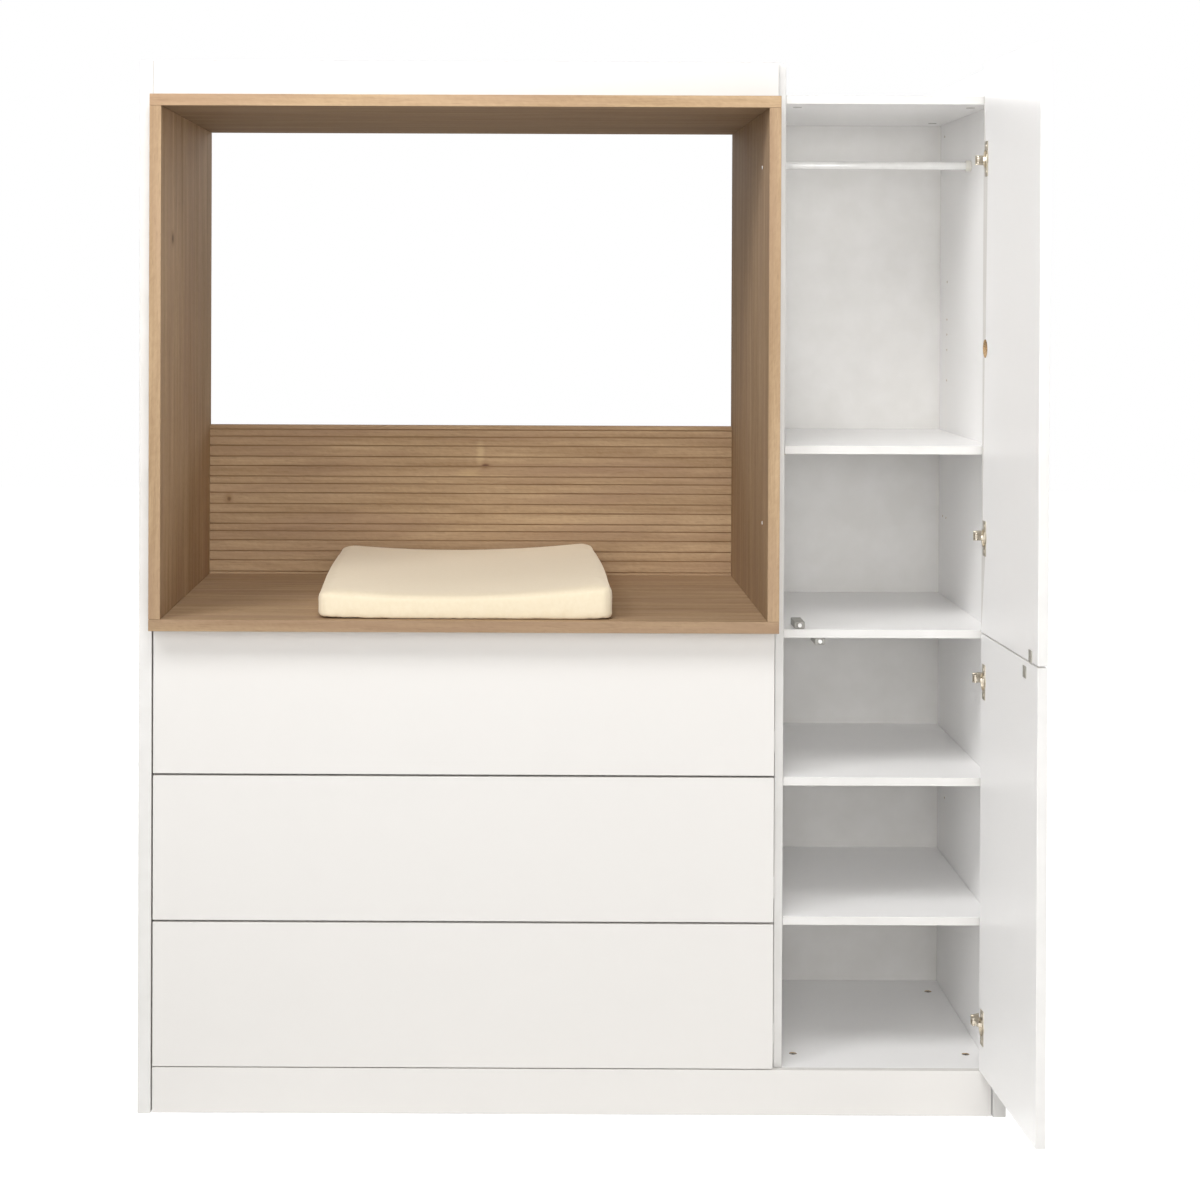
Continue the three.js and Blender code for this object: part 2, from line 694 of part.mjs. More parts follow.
// Changing pad: a closed skin over a grid, raised at both long sides, drawn in at the hem
function padGeometry() {
  const points = [];
  const faces = [];
  const across = pad_steps_across;
  const along = pad_steps_along;
  const hem = pad_height / 2;
  const inset = (share, size) => {
    const edge = Math.min(share, 1 - share) * size;
    const left = Math.max(0, 1 - edge / pad_edge_round);
    return 1 - Math.sqrt(Math.max(0, 1 - left * left));
  };
  const at = (u, v, top) => {
    const side = Math.abs(2 * u - 1);
    const wall = side ** pad_wall_exponent;
    const bulge = Math.sin(Math.PI * v);
    const waist = pad_side_draw * bulge;
    const x = pad_width * u + waist * (1 - 2 * u) * side;
    const y = pad_depth * v;
    const lift = pad_valley + (pad_height - pad_valley + pad_crown * bulge) * wall;
    const round = Math.max(inset(u, pad_width), inset(v, pad_depth));
    const z = top ? lift - (lift - hem) * round : hem * round;
    return [x, y, z];
  };
  const add = (p) => points.push(...p) / 3 - 1;
  const tops = [];
  const bottoms = [];
  for (let j = 0; j <= along; j += 1) {
    tops.push([]);
    bottoms.push([]);
    for (let i = 0; i <= across; i += 1) {
      const u = easedShare(i / across);
      const v = easedShare(j / along);
      const rim = i === 0 || j === 0 || i === across || j === along;
      tops[j].push(add(at(u, v, true)));
      bottoms[j].push(rim ? tops[j][i] : add(at(u, v, false)));
    }
  }
  for (let j = 0; j < along; j += 1) {
    for (let i = 0; i < across; i += 1) {
      const t = [tops[j][i], tops[j][i + 1], tops[j + 1][i + 1], tops[j + 1][i]];
      const b = [bottoms[j][i], bottoms[j][i + 1], bottoms[j + 1][i + 1], bottoms[j + 1][i]];
      faces.push(t[0], t[1], t[2], t[0], t[2], t[3]);
      faces.push(b[0], b[2], b[1], b[0], b[3], b[2]);
    }
  }
  const geometry = new THREE.BufferGeometry();
  geometry.setAttribute('position', new THREE.Float32BufferAttribute(points, 3));
  geometry.setIndex(faces);
  geometry.computeVertexNormals();
  return geometry;
}

// Grid lines lie closer together near the pad's edges
function easedShare(share) {
  const eased = (1 - Math.cos(Math.PI * share)) / 2;
  return share + (eased - share) * pad_crowding_share;
}

addUprights();
addFlatBoards();
addNiche();
addShelves();
addRail();
for (let row = 1; row <= drawer_count; row += 1) {
  addDrawer(row);
}

const upper_latch_z = fixed_top + seat_gap + latch_height / 2;
const lower_latch_z = fixed_top - board_thickness - seat_gap - latch_height / 2;
const door_seam_z = fixed_top - door_seam_drop;
const upper_door_z = [door_seam_z + door_seam_gap / 2, overall_height - door_top_gap];
const lower_door_z = [plinth_top_z + door_bottom_gap, door_seam_z - door_seam_gap / 2];
addDoor('upper', upper_door_z, upper_hinge_inset, true, upper_latch_inset,
  Math.max(upper_latch_z, upper_door_z[0] + strike_size / 2));
addDoor('lower', lower_door_z, lower_hinge_inset, false, lower_latch_inset,
  Math.min(lower_latch_z, lower_door_z[1] - strike_size / 2));
addLatch('upper', upper_latch_inset, upper_latch_z);
addLatch('lower', lower_latch_inset, lower_latch_z);

// The pad's rear edge lies clear of the ribbed panel
pieceOf(dresser, 'changing_pad', padGeometry(), cream_cloth,
  [left_inner_x + seat_gap + niche_board + pad_left_margin,
    body_depth - ribbed_thickness - pad_rear_gap - pad_depth,
    niche_bottom_z + niche_board + seat_gap]);

// The origin goes to the bottom centre of the box that the open doors reach
const free_edge_x = partition_right_x - door_overlay;
const front_reach = Math.min(-niche_overhang, turnedAboutPole([free_edge_x, 0])[1],
  turnedAboutPole([free_edge_x, front_thickness])[1]);
dresser.position.set(-overall_width / 2, -(body_depth + front_reach) / 2, 0);

export default dresser;
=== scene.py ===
"""Changing dresser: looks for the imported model, laid out as an add-on.

Everything is in metres in the model's own frame. The sizes written here are
millimetres in the carcass frame: X from the left outer face, Y from the plane
of the drawer fronts towards the back, Z up from the floor.
"""

import math
from functools import partial

import bmesh
import bpy
from mathutils import Matrix, Vector, noise


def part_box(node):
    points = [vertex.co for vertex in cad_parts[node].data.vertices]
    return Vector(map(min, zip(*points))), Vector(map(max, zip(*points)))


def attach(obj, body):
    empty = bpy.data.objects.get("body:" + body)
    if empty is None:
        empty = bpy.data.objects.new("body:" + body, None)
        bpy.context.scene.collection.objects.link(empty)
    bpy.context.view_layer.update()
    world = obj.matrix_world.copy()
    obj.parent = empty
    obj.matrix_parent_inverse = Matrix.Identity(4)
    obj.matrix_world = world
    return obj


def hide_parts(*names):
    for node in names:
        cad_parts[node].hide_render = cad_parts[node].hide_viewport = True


bl_info = {
    "name": "Changing dresser",
    "version": (1, 0, 0),
    "blender": (4, 5, 0),
    "location": "View3D > Sidebar > Dresser",
    "description": "Builds the boards, fittings and pad of a nursery changing dresser",
    "category": "Add Mesh",
}

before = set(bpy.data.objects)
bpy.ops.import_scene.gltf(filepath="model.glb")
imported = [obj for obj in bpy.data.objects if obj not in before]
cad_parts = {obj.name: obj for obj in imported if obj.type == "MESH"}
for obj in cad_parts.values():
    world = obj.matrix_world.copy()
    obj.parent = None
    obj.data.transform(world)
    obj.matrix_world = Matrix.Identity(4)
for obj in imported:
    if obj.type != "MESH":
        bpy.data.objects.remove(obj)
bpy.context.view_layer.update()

MM = 0.001
CORNER = Vector(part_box("left_side_panel")[0])
WHITE = (1.0, 1.0, 1.0, 1.0)
NEAR = 0.02 * MM

# Carcass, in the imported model's numbers; a slab is a board's span in X
FRONT = 18.0
LEFT_SLAB = (0.0, 25.0)
RIGHT_SLAB = (1625.0, 1650.0)
MIDDLE_SLAB = (1210.0, 1226.0)
DEPTH = 693.0
HEIGHT = 2000.0
SETBACK = 20.0
NICHE_X = (25.3, 1209.7)
OAK = 22.0
DOOR_X = (1210.0, 1621.0)
UPPER_DOOR_Z = (922.5, 1998.0)
LOWER_DOOR_Z = (90.0, 919.5)
DRAWER_LOW = {"top": 647.333, "middle": 368.667, "bottom": 90.0}
DRAWER_ROWS = ("top", "middle", "bottom")
DRAWER_BOX_X = (37.3, 1235.0 - 37.3)
DRAWER_BACK_FACE = 518.3
RUNNER_LIFT = 62.0
RUNNER_REACH = 25.0
CAM_PLACES = [(x, y) for x in (1257.0, 1592.0) for y in (98.0, 504.0)]
CAM_SEAT_Z = 85.2
WARDROBE_FLOOR_Z = 88.0
WARDROBE_CEILING_Z = 1923.5

# Hinges and latches, shut; the doors stand open, turned about the pole
POLE = (1618.0, -2.0)
OPEN = math.radians(92.0)
CUP_X = 1600.5
CUP_R = 17.5
WINGS_X = 1595.5
HINGE_Z = {"upper": (1818.0, 1102.5), "lower": (831.5, 178.0)}
SPARE_BORE_Z = 1460.25
CUP_WING_Y = FRONT + 1.1
STRIKE_Y = FRONT + 1.2
ARM_PLATE_X = 1621.8
ARM_RISE = 9.0
LATCHES = {"upper": (1257.0, 930.3), "lower": (1296.0, 899.7)}
STRIKES = {"upper": (1257.0, 933.0), "lower": (1296.0, 899.7)}


def linear(hex_colour):
    """Linear RGBA of an sRGB hex colour."""
    values = [int(hex_colour[i:i + 2], 16) / 255 for i in (1, 3, 5)]
    return tuple(v / 12.92 if v <= 0.04045 else ((v + 0.055) / 1.055) ** 2.4
                 for v in values) + (1.0,)


def at(x, y, z):
    """A carcass point in metres."""
    return CORNER + Vector((x, y, z)) * MM


def opened(x, y, z):
    """A point of a shut door, in metres, where it lies with the door open."""
    dx, dy = x - POLE[0], y - POLE[1]
    return at(POLE[0] + dx * math.cos(OPEN) - dy * math.sin(OPEN),
              POLE[1] + dx * math.sin(OPEN) + dy * math.cos(OPEN), z)


# The way from a door's outer face to its inner one, with the door open
INWARD = opened(0, 1, 0) - opened(0, 0, 0)


def per_mm(size):
    """Texture scale that makes patches about this many millimetres across."""
    return 1.0 / (size * MM)


# ---------------- materials

def add_node(tree, kind, settings=None, links=None):
    """Adds a shader node with its options and sockets, and links what feeds it.

    A node among the links stands for its first output.
    """
    node = tree.nodes.new("ShaderNode" + kind)
    for key, value in (settings or {}).items():
        if isinstance(key, int) or key in node.inputs:
            node.inputs[key].default_value = value
        else:
            setattr(node, key, value)
    for key, source in (links or {}).items():
        tree.links.new(getattr(source, "outputs", [source])[0], node.inputs[key])
    return node


def surface(name, sockets):
    """A new material with one principled shader, and what its pattern is made with."""
    material = bpy.data.materials.new(name)
    material.use_nodes = True
    tree = material.node_tree
    tree.nodes.clear()
    add = partial(add_node, tree)
    shader = add("BsdfPrincipled", sockets)
    add("OutputMaterial", {}, {"Surface": shader})
    return material, shader, add, add("TexCoord").outputs["Object"]


def noise_patches(add, size_mm, detail, place):
    """A noise whose patches are about this many millimetres across."""
    return add("TexNoise", {"Scale": per_mm(size_mm), "Detail": detail}, {"Vector": place})


def spread(add, source, low, high, top=1.0):
    """A reading carried from its low and high end to 0 and to the top."""
    return add("MapRange", {"From Min": low, "From Max": high, "To Max": top}, {"Value": source})


def blend(add, dark, light, share):
    """A colour between two, by a share."""
    return add("Mix", {"data_type": "RGBA", 6: dark, 7: light}, {0: share}).outputs[2]


def dressed(material, shader, add, colour, height, strength, depth_mm, invert=False):
    """The material, once its pattern's colour and relief feed the shader."""
    relief = add("Bump", {"Strength": strength, "Distance": depth_mm * MM, "invert": invert},
                 {"Height": height})
    links = material.node_tree.links
    links.new(colour, shader.inputs["Base Color"])
    links.new(relief.outputs[0], shader.inputs["Normal"])
    return material


def mottled(name, dark, light, patch_mm, grain_mm, bump_mm, sockets, stretch=(1.0, 1.0, 1.0)):
    """A finish that drifts between two close tones, with a fine grain in its surface."""
    material, shader, add, coords = surface(name, sockets)
    laid = add("Mapping", {"Scale": stretch}, {"Vector": coords})
    drift = noise_patches(add, patch_mm, 3.0, laid)
    tint = blend(add, dark, light, spread(add, drift, 0.32, 0.68))
    grain = noise_patches(add, grain_mm, 2.0, laid)
    return dressed(material, shader, add, tint, grain, 0.6, bump_mm)


def oak(name, share, grain, heart, blots=()):
    """Oak-look foil: soft bands, fibres, slanting figure and pores along one axis."""
    light, dark, rosy, deep = (setting_colour(f"oak_{tone}", (share,) * 3)
                               for tone in ("light", "dark", "rosy", "pore"))
    material, shader, add, coords = surface(
        name, {"Roughness": 0.75, "IOR": 1.4, "Specular IOR Level": 0.04})
    parts = add("SeparateXYZ", {}, {"Vector": coords})
    order = {"X": "XYZ", "Z": "ZXY"}[grain]
    along = add("CombineXYZ", {}, {i: parts.outputs[axis] for i, axis in enumerate(order)})

    def streaks(width_mm, stretch, slant=0.0, detail=3.0):
        drawn = add("Mapping",
                    {"vector_type": "TEXTURE", "Location": (0.0, *heart),
                     "Rotation": (0.0, slant, slant), "Scale": (stretch, 1.0, 1.0)},
                    {"Vector": along})
        return noise_patches(add, width_mm, detail, drawn)

    def tinted(share, colour, under):
        return add("Mix", {"data_type": "RGBA", 7: colour}, {0: share, 6: under}).outputs[2]

    broad = streaks(75.0, 7.0, 0.03, 2.0)
    fibre = streaks(2.6, 34.0)
    # Growth rings cut nearly flat: long faint arches
    tilted = add("Mapping",
                 {"vector_type": "TEXTURE", "Location": (0.0, *heart),
                  "Rotation": (0.0, 0.022, 0.03)}, {"Vector": along})
    bent = add("VectorMath", {"operation": "MULTIPLY_ADD", 1: (0.0, 0.07, 0.07)},
               {0: broad, 2: tilted})
    rings = add("TexWave",
                {"wave_type": "RINGS", "rings_direction": "X",
                 "Scale": 2 * math.pi / 20 * per_mm(15.0), "Distortion": 1.5, "Detail": 2.0,
                 "Detail Scale": 0.5}, {"Vector": bent})
    # Fibres are drawn 2.6 mm wide and the slanting figure 5 mm: the real ones hardly show
    tone = streaks(22.0, 20.0, 0.01)
    for source, weight in ((fibre, 0.5), (streaks(5.0, 5.0, 0.42), 0.4),
                           (rings.outputs["Fac"], 0.1), (broad, 0.4)):
        tone = add("Math", {"operation": "MULTIPLY_ADD", 1: weight}, {0: source, 2: tone})
    wood = blend(add, light, dark, spread(add, tone, 0.86, 1.66))
    blush = streaks(48.0, 9.0, -0.04, 2.0)
    wood = tinted(spread(add, blush, 0.42, 0.68, 0.55), rosy, wood)
    # Open pores: short darker flecks
    pores = streaks(1.9, 13.0, 0.0, 1.0)
    wood = tinted(spread(add, pores, 0.58, 0.76, 0.22), deep, wood)
    # Knots and pale flames: soft-edged ovals, each (place, half sizes, colour, share)
    for place, half, colour, share in blots:
        off = add("VectorMath", {"operation": "SUBTRACT", 1: tuple(place)}, {0: coords})
        off = add("VectorMath",
                  {"operation": "MULTIPLY", 1: tuple(per_mm(size) for size in half)}, {0: off})
        reach = add("VectorMath", {"operation": "LENGTH"}, {0: off})
        ragged = add("Math", {"operation": "MULTIPLY_ADD", 1: 0.9},
                     {0: fibre, 2: reach.outputs["Value"]})
        wood = tinted(spread(add, ragged, 1.75, 0.85, share), linear(colour), wood)
    return dressed(material, shader, add, wood, pores, 0.5, 0.12, invert=True)


def chipboard(name):
    """Raw particle board in a drilled bore: tan flakes a few millimetres long."""
    material, shader, add, coords = surface(name, {"Roughness": 0.85})
    flakes = add("TexVoronoi", {"Scale": per_mm(2.2)}, {"Vector": coords})
    tint = blend(add, linear("#8F7350"), linear("#D3B58A"), flakes.outputs["Color"])
    return dressed(material, shader, add, tint, flakes.outputs["Distance"], 0.8, 0.3)


def jersey(name, light, dark):
    """Single jersey knit: soft, matt, with fine wales and a little fuzz."""
    material, shader, add, coords = surface(
        name, {"Roughness": 0.92, "Sheen Weight": 0.85, "Sheen Roughness": 0.5,
               "Sheen Tint": linear("#FBEFDC"), "Specular IOR Level": 0.25})
    # Wales about 1 mm apart in the cloth, drawn 2.4 mm apart so that they show
    spacing = 2 * math.pi / 20 / (2.4 * MM)
    wales, courses = (
        add("TexWave", {"bands_direction": way, "Scale": spacing, "Distortion": 0.6},
            {"Vector": coords}).outputs["Fac"] for way in "XY")
    loops = add("Math", {"operation": "MULTIPLY"}, {0: wales, 1: courses})
    fuzz = noise_patches(add, 7.0, 4.0, coords)
    tone = add("Math", {"operation": "MULTIPLY_ADD", 1: 0.35}, {0: loops, 2: fuzz})
    # The tone darkens where wales and courses dip: painted shade; the fuzz adds random tone
    tint = blend(add, dark, light, spread(add, tone, 0.35, 0.85))
    return dressed(material, shader, add, tint, tone, 0.35, 0.3)


def setting_colour(name, shares=(1.0, 1.0, 1.0)):
    """A colour setting as RGBA, its red, green and blue times their shares."""
    values = getattr(bpy.context.scene.dresser_colours, name)
    return tuple(value * share for value, share in zip(values, shares)) + (1.0,)


def white_board():
    # Melamine-faced chipboard: warm white, satin, pressed with a faint pearl grain
    return mottled("white_melamine_face", setting_colour("white_board", (0.995,) * 3),
                   setting_colour("white_board"), 140.0, 1.6, 0.05,
                   {"Roughness": 0.5, "IOR": 1.5, "Specular IOR Level": 0.4})


def inner_board():
    # The same board inside the wardrobe, a touch cooler, and set far lighter than the front
    # boards as painted light in its shade
    return mottled("inner_melamine_face", setting_colour("inner_board", (0.99,) * 3),
                   setting_colour("inner_board"), 120.0, 1.6, 0.05,
                   {"Roughness": 0.36, "IOR": 1.5})


def raw_board():
    # Particle board, seen where a bore stays empty
    return chipboard("raw_chipboard")


def cream_jersey():
    # Cotton jersey dyed cream; darker and warmer where the knit lies deep, as painted shade
    return jersey("cream_cotton_jersey", setting_colour("pad_cover"),
                  setting_colour("pad_cover", (0.965, 0.95, 0.92)))


# Plain finishes: the material, its darker and lighter tone, the sizes in mm of its
# patches, grain and relief, its sockets, and the pattern's stretch where it has one
PLAIN = {
    # Thin painted fibreboard with a faint upright print, set lighter than the white boards,
    # partly as painted light on the shaded backs
    "back_board": ("painted_hardboard", "#F7F5F2", "#FBF9F7", 9.0, 2.5, 0.06,
                   {"Roughness": 0.6, "IOR": 1.5}, (1.0, 1.0, 0.04)),
    # ABS edge band: smooth moulded plastic, brighter and glossier than the face
    "edge_band": ("white_abs_edge_band", "#DBD9D5", "#E1DFDC", 60.0, 3.0, 0.02,
                  {"Roughness": 0.3, "IOR": 1.53}),
    # The doors' edge band, brighter than the boards' as painted light on edges that catch the
    # lamps
    "door_band_painted_light": ("bright_abs_edge_band", "#EDEBE8", "#F3F1EE", 60.0, 3.0, 0.02,
                  {"Roughness": 0.3, "IOR": 1.53}),
    # Steel tube, white powder coat baked to a gloss
    "rail_coat": ("gloss_white_coated_steel", "#ECEBE8", "#F6F5F2", 30.0, 1.5, 0.02,
                  {"Roughness": 0.16, "Coat Weight": 0.4, "Coat Roughness": 0.08}),
    # Moulded nylon, slightly yellow next to the rail
    "socket_plastic": ("ivory_nylon", "#E2DFD5", "#ECE9E0", 14.0, 1.2, 0.03,
                       {"Roughness": 0.4, "IOR": 1.53}),
    # Nickel plate on pressed steel: bright, with faint press marks, warm partly of its own and
    # partly as painted reflection of warm surroundings
    "nickel": ("nickel_plated_steel", "#BDB3A2", "#D0C8B9", 9.0, 1.4, 0.02,
               {"Metallic": 1.0, "Roughness": 0.34}),
    # Zinc plate: dull and a little cloudy, its tone lightened and warmed as painted reflection
    "zinc": ("zinc_plated_steel", "#A9A69E", "#C6C3BB", 12.0, 1.2, 0.05,
             {"Metallic": 1.0, "Roughness": 0.5}),
    # Near-black metal in screw recesses and cam slots: painted shade of the recesses
    "recess_painted_shade": ("dark_cast_zinc", "#2A2A2B", "#464647", 4.0, 0.8, 0.05,
                    {"Metallic": 0.6, "Roughness": 0.55}),
    # Moulded acetal, light grey and slightly translucent
    "latch_plastic": ("grey_acetal", "#8E8C86", "#A09E98", 10.0, 0.9, 0.03,
                      {"Roughness": 0.42, "Subsurface Weight": 0.12,
                       "Subsurface Radius": (0.004, 0.004, 0.004), "Subsurface Scale": 1.0}),
    # Natural nylon buffer, white and softly glossy
    "white_tip": ("white_nylon", "#F4F3F0", "#FCFBF9", 6.0, 0.9, 0.02,
                  {"Roughness": 0.3, "IOR": 1.53}),
    # Press-in cap of pale grey polypropylene, matt as moulded
    "cam_cover": ("pale_grey_polypropylene", "#B9B7B3", "#C9C7C3", 8.0, 0.9, 0.03,
                  {"Roughness": 0.45}),
    # The oak foil pressed down into a groove, darker as painted shade, no figure to be seen
    "oak_groove": ("oak_foil_in_groove", "#96795B", "#AA8D6D", 22.0, 1.6, 0.05,
                   {"Roughness": 0.8, "Specular IOR Level": 0.05}, (0.1, 1.0, 1.0)),
}

# Oak finishes: the material, its tone against the settings, raised or lowered per board as
# painted light and shade, the grain's axis, where the rings' heart lies across it in metres,
# and the marks in the print
LEFT_KNOT = at(47.3, 108.0, 1665.0)
PANEL_KNOT = at(648.0, 671.0, 1184.0)
OAKS = {
    # Decor foil with a low sheen, its grain standing up; this board is lightened as painted
    # light
    "oak_left": ("oak_foil_left_board", 1.1, "Z", (-0.10, 0.05),
                 ((LEFT_KNOT, (30.0, 22.0, 15.0), "#7E6045", 0.45),
                  (LEFT_KNOT, (30.0, 10.0, 8.0), "#4A3425", 0.7))),
    # The same foil on the right board, darkened as painted shade
    "oak_right": ("oak_foil_right_board", 0.82, "Z", (-0.10, 0.05)),
    # The foil with its grain lying, the darkest board of the four: painted shade on the niche's
    # ceiling
    "oak_top": ("oak_foil_top_board", 0.70, "X", (0.25, 0.85)),
    # The foil with its grain lying, under the pad
    "oak_bottom": ("oak_foil_bottom_board", 0.97, "X", (0.25, 0.85)),
    # ABS edge band printed as oak, on the two upright boards
    "oak_edge_upright": ("oak_edge_band_upright", 0.96, "Z", (0.40, 0.31)),
    # The same edge band on the top board, paler as painted light from the lamps above
    "oak_edge_top": ("oak_edge_band_top", 1.05, "X", (0.55, 0.12)),
    # The same edge band on the floor board, darker as painted shade lower down
    "oak_edge_bottom": ("oak_edge_band_bottom", 0.88, "X", (0.55, 0.12)),
    # The foil wrapped over the grooved panel: one knot with pale flames, and a small one
    "oak_ribbed": ("oak_foil_ribbed", 0.96, "X", (0.62, 1.10), (
        (PANEL_KNOT + Vector((-9, 0, 26)) * MM, (9.0, 60.0, 30.0), "#D2B892", 0.45),
        (PANEL_KNOT + Vector((-34, 0, -16)) * MM, (26.0, 60.0, 9.0), "#C9AE85", 0.4),
        (PANEL_KNOT, (15.0, 60.0, 8.0), "#8E6E55", 0.55),
        (PANEL_KNOT + Vector((2, 0, 1)) * MM, (7.0, 60.0, 4.2), "#60443A", 0.75),
        (at(89.0, 671.0, 1111.0), (11.0, 60.0, 12.0), "#8A6A4C", 0.5),
        (at(90.0, 671.0, 1110.0), (4.5, 60.0, 5.0), "#5F4635", 0.6))),
}
OTHERS = {maker.__name__: maker for maker in (white_board, inner_board, raw_board, cream_jersey)}
made_finishes = {}


def finish_named(name):
    """The material for a finish, made the first time that it is asked for."""
    if name not in made_finishes:
        if name in PLAIN:
            material, dark, light, *rest = PLAIN[name]
            made = mottled(material, linear(dark), linear(light), *rest)
        else:
            made = oak(*OAKS[name]) if name in OAKS else OTHERS[name]()
        made_finishes[name] = made
    return made_finishes[name]


# ---------------- mesh work

def copied(node):
    """A merged copy of a CAD node's mesh, its flat faces joined up again."""
    shape = bmesh.new()
    shape.from_mesh(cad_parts[node].data)
    bmesh.ops.remove_doubles(shape, verts=shape.verts, dist=NEAR)
    bmesh.ops.dissolve_limit(shape, angle_limit=math.radians(0.6), verts=shape.verts,
                             edges=shape.edges)
    return shape


def box_edges(shape, low, high):
    """Edges that lie along the twelve edges of the box from low to high."""
    near = 0.05 * MM
    found = []
    for edge in shape.edges:
        a, b = (v.co for v in edge.verts)
        sides = sum(any(abs(a[i] - bound[i]) < near and abs(b[i] - bound[i]) < near
                        for bound in (low, high)) for i in range(3))
        if sides >= 2:
            found.append(edge)
    return found


def convex_edges(shape, least_degrees):
    """Edges that stand out and turn by more than the given angle."""
    least = math.radians(least_degrees)
    return [e for e in shape.edges
            if len(e.link_faces) == 2 and e.is_convex and e.calc_face_angle(0.0) > least]


def rounded(shape, edges, radius_mm, segments=2):
    """Rounds the given edges."""
    bmesh.ops.bevel(shape, geom=list(edges), offset=radius_mm * MM, offset_type="OFFSET",
                    segments=segments, profile=0.5, affect="EDGES", material=-1,
                    clamp_overlap=True)


def softened(node, radius_mm, segments=2):
    """A copy of a box-like node, its outer edges rounded."""
    shape = copied(node)
    rounded(shape, box_edges(shape, *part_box(node)), radius_mm, segments)
    return shape


def eased(node, least_degrees, radius_mm):
    """A copy of a node, its sharp outer edges rounded."""
    shape = copied(node)
    rounded(shape, convex_edges(shape, least_degrees), radius_mm)
    return shape


def block(shape, low, high, index=0):
    """Adds a block between two points in metres."""
    low, high = Vector(low), Vector(high)
    before = set(shape.faces)
    place = Matrix.Translation((low + high) / 2) @ Matrix.Diagonal((*(high - low), 1.0))
    bmesh.ops.create_cube(shape, size=1.0, matrix=place)
    for face in set(shape.faces) - before:
        face.material_index = index


def facing(axis):
    """A turn that carries the Z axis onto the given direction."""
    return Vector((0, 0, 1)).rotation_difference(Vector(axis)).to_matrix().to_4x4()


def turned_shape(shape, outline, base, axis, steps=24):
    """Adds a lathe-turned shape; its outline is (radius, height) in mm, from axis to axis."""
    place = Matrix.Translation(base) @ facing(axis)
    before = set(shape.faces)
    points = [shape.verts.new((r * MM, 0.0, h * MM)) for r, h in outline]
    edges = [shape.edges.new((a, b)) for a, b in zip(points, points[1:])]
    bmesh.ops.spin(shape, geom=points + edges, cent=(0, 0, 0), axis=(0, 0, 1),
                   angle=2 * math.pi, steps=steps, use_merge=True, use_duplicate=False)
    fresh = set(shape.faces) - before
    verts = list({v for f in fresh for v in f.verts})
    bmesh.ops.remove_doubles(shape, verts=verts, dist=0.002 * MM)
    fresh = [f for f in shape.faces if f not in before]
    bmesh.ops.recalc_face_normals(shape, faces=fresh)
    verts = list({v for f in fresh for v in f.verts})
    bmesh.ops.transform(shape, matrix=place, verts=verts)


def screw(shape, centre, axis, radius_mm, height_mm, painted_shade_index=1):
    """Adds a screw head with a cross recess pressed into it, the recess in painted shade."""
    axis = Vector(axis).normalized()
    place = Matrix.Translation(Vector(centre) + axis * height_mm * MM / 2) @ facing(axis)
    made = bmesh.ops.create_cone(
        shape, cap_ends=True, segments=16, radius1=radius_mm * MM,
        radius2=radius_mm * 0.74 * MM, depth=height_mm * MM, matrix=place)
    faces = {f for v in made["verts"] for f in v.link_faces}
    for face in faces:
        face.normal_update()
    top = max(faces, key=lambda f: f.normal.dot(axis) + f.calc_center_median().dot(axis))
    bmesh.ops.inset_individual(shape, faces=[top], thickness=radius_mm * 0.2 * MM)
    pivot = top.calc_center_median()
    for i, vert in enumerate(top.verts):
        if i % 4:
            vert.co = pivot.lerp(vert.co, 0.42)
    sunk = bmesh.ops.extrude_discrete_faces(shape, faces=[top])["faces"][0]
    for vert in sunk.verts:
        vert.co = pivot.lerp(vert.co, 0.8) - axis * height_mm * 0.6 * MM
    sunk.material_index = painted_shade_index
    for edge in sunk.edges:
        for face in edge.link_faces:
            face.material_index = painted_shade_index


def placed(name, shape):
    """Makes a bmesh an object of the scene."""
    mesh = bpy.data.meshes.new(name)
    shape.to_mesh(mesh)
    shape.free()
    made = bpy.data.objects.new(name, mesh)
    bpy.context.scene.collection.objects.link(made)
    return made


def drilled(shape, bores, index):
    """Cuts round holes (mouth, inward, radius, depth) and gives their walls a material."""
    panel = placed("panel_being_drilled", shape)
    bits = bmesh.new()
    for mouth, inward, radius_mm, depth_mm in bores:
        inward = Vector(inward).normalized()
        proud = 1.0
        centre = Vector(mouth) + inward * (depth_mm - proud) * MM / 2
        bmesh.ops.create_cone(bits, cap_ends=True, segments=20, radius1=radius_mm * MM,
                              radius2=radius_mm * MM, depth=(depth_mm + proud) * MM,
                              matrix=Matrix.Translation(centre) @ facing(inward))
    cutter = placed("drill_bits", bits)
    cut = panel.modifiers.new("drill", "BOOLEAN")
    cut.operation = "DIFFERENCE"
    cut.solver = "EXACT"
    cut.object = cutter
    bpy.context.view_layer.update()
    result = bmesh.new()
    result.from_mesh(bpy.data.meshes.new_from_object(
        panel.evaluated_get(bpy.context.evaluated_depsgraph_get())))
    for thing in (panel, cutter):
        bpy.data.objects.remove(thing)
    if len(result.faces) < 6:
        raise RuntimeError("drilling left no panel")
    for face in result.faces:
        middle = face.calc_center_median()
        for mouth, inward, radius_mm, depth_mm in bores:
            inward = Vector(inward).normalized()
            gone = middle - Vector(mouth)
            depth = gone.dot(inward)
            off = (gone - inward * depth).length
            if off < radius_mm * MM * 1.01 and depth > 0.01 * MM:
                face.material_index = index
    return result


def piece(name, shape, finishes, body, replaces=(), smooth=None):
    """Makes a bmesh an object with its finishes, riding on a body."""
    made = placed(name, shape)
    mesh = made.data
    for finish in finishes:
        mesh.materials.append(finish_named(finish))
    if smooth is not None:
        mesh.polygons.foreach_set("use_smooth", [True] * len(mesh.polygons))
        mesh.set_sharp_from_angle(angle=math.radians(smooth))
    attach(made, body)
    if replaces:
        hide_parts(*replaces)
    return made


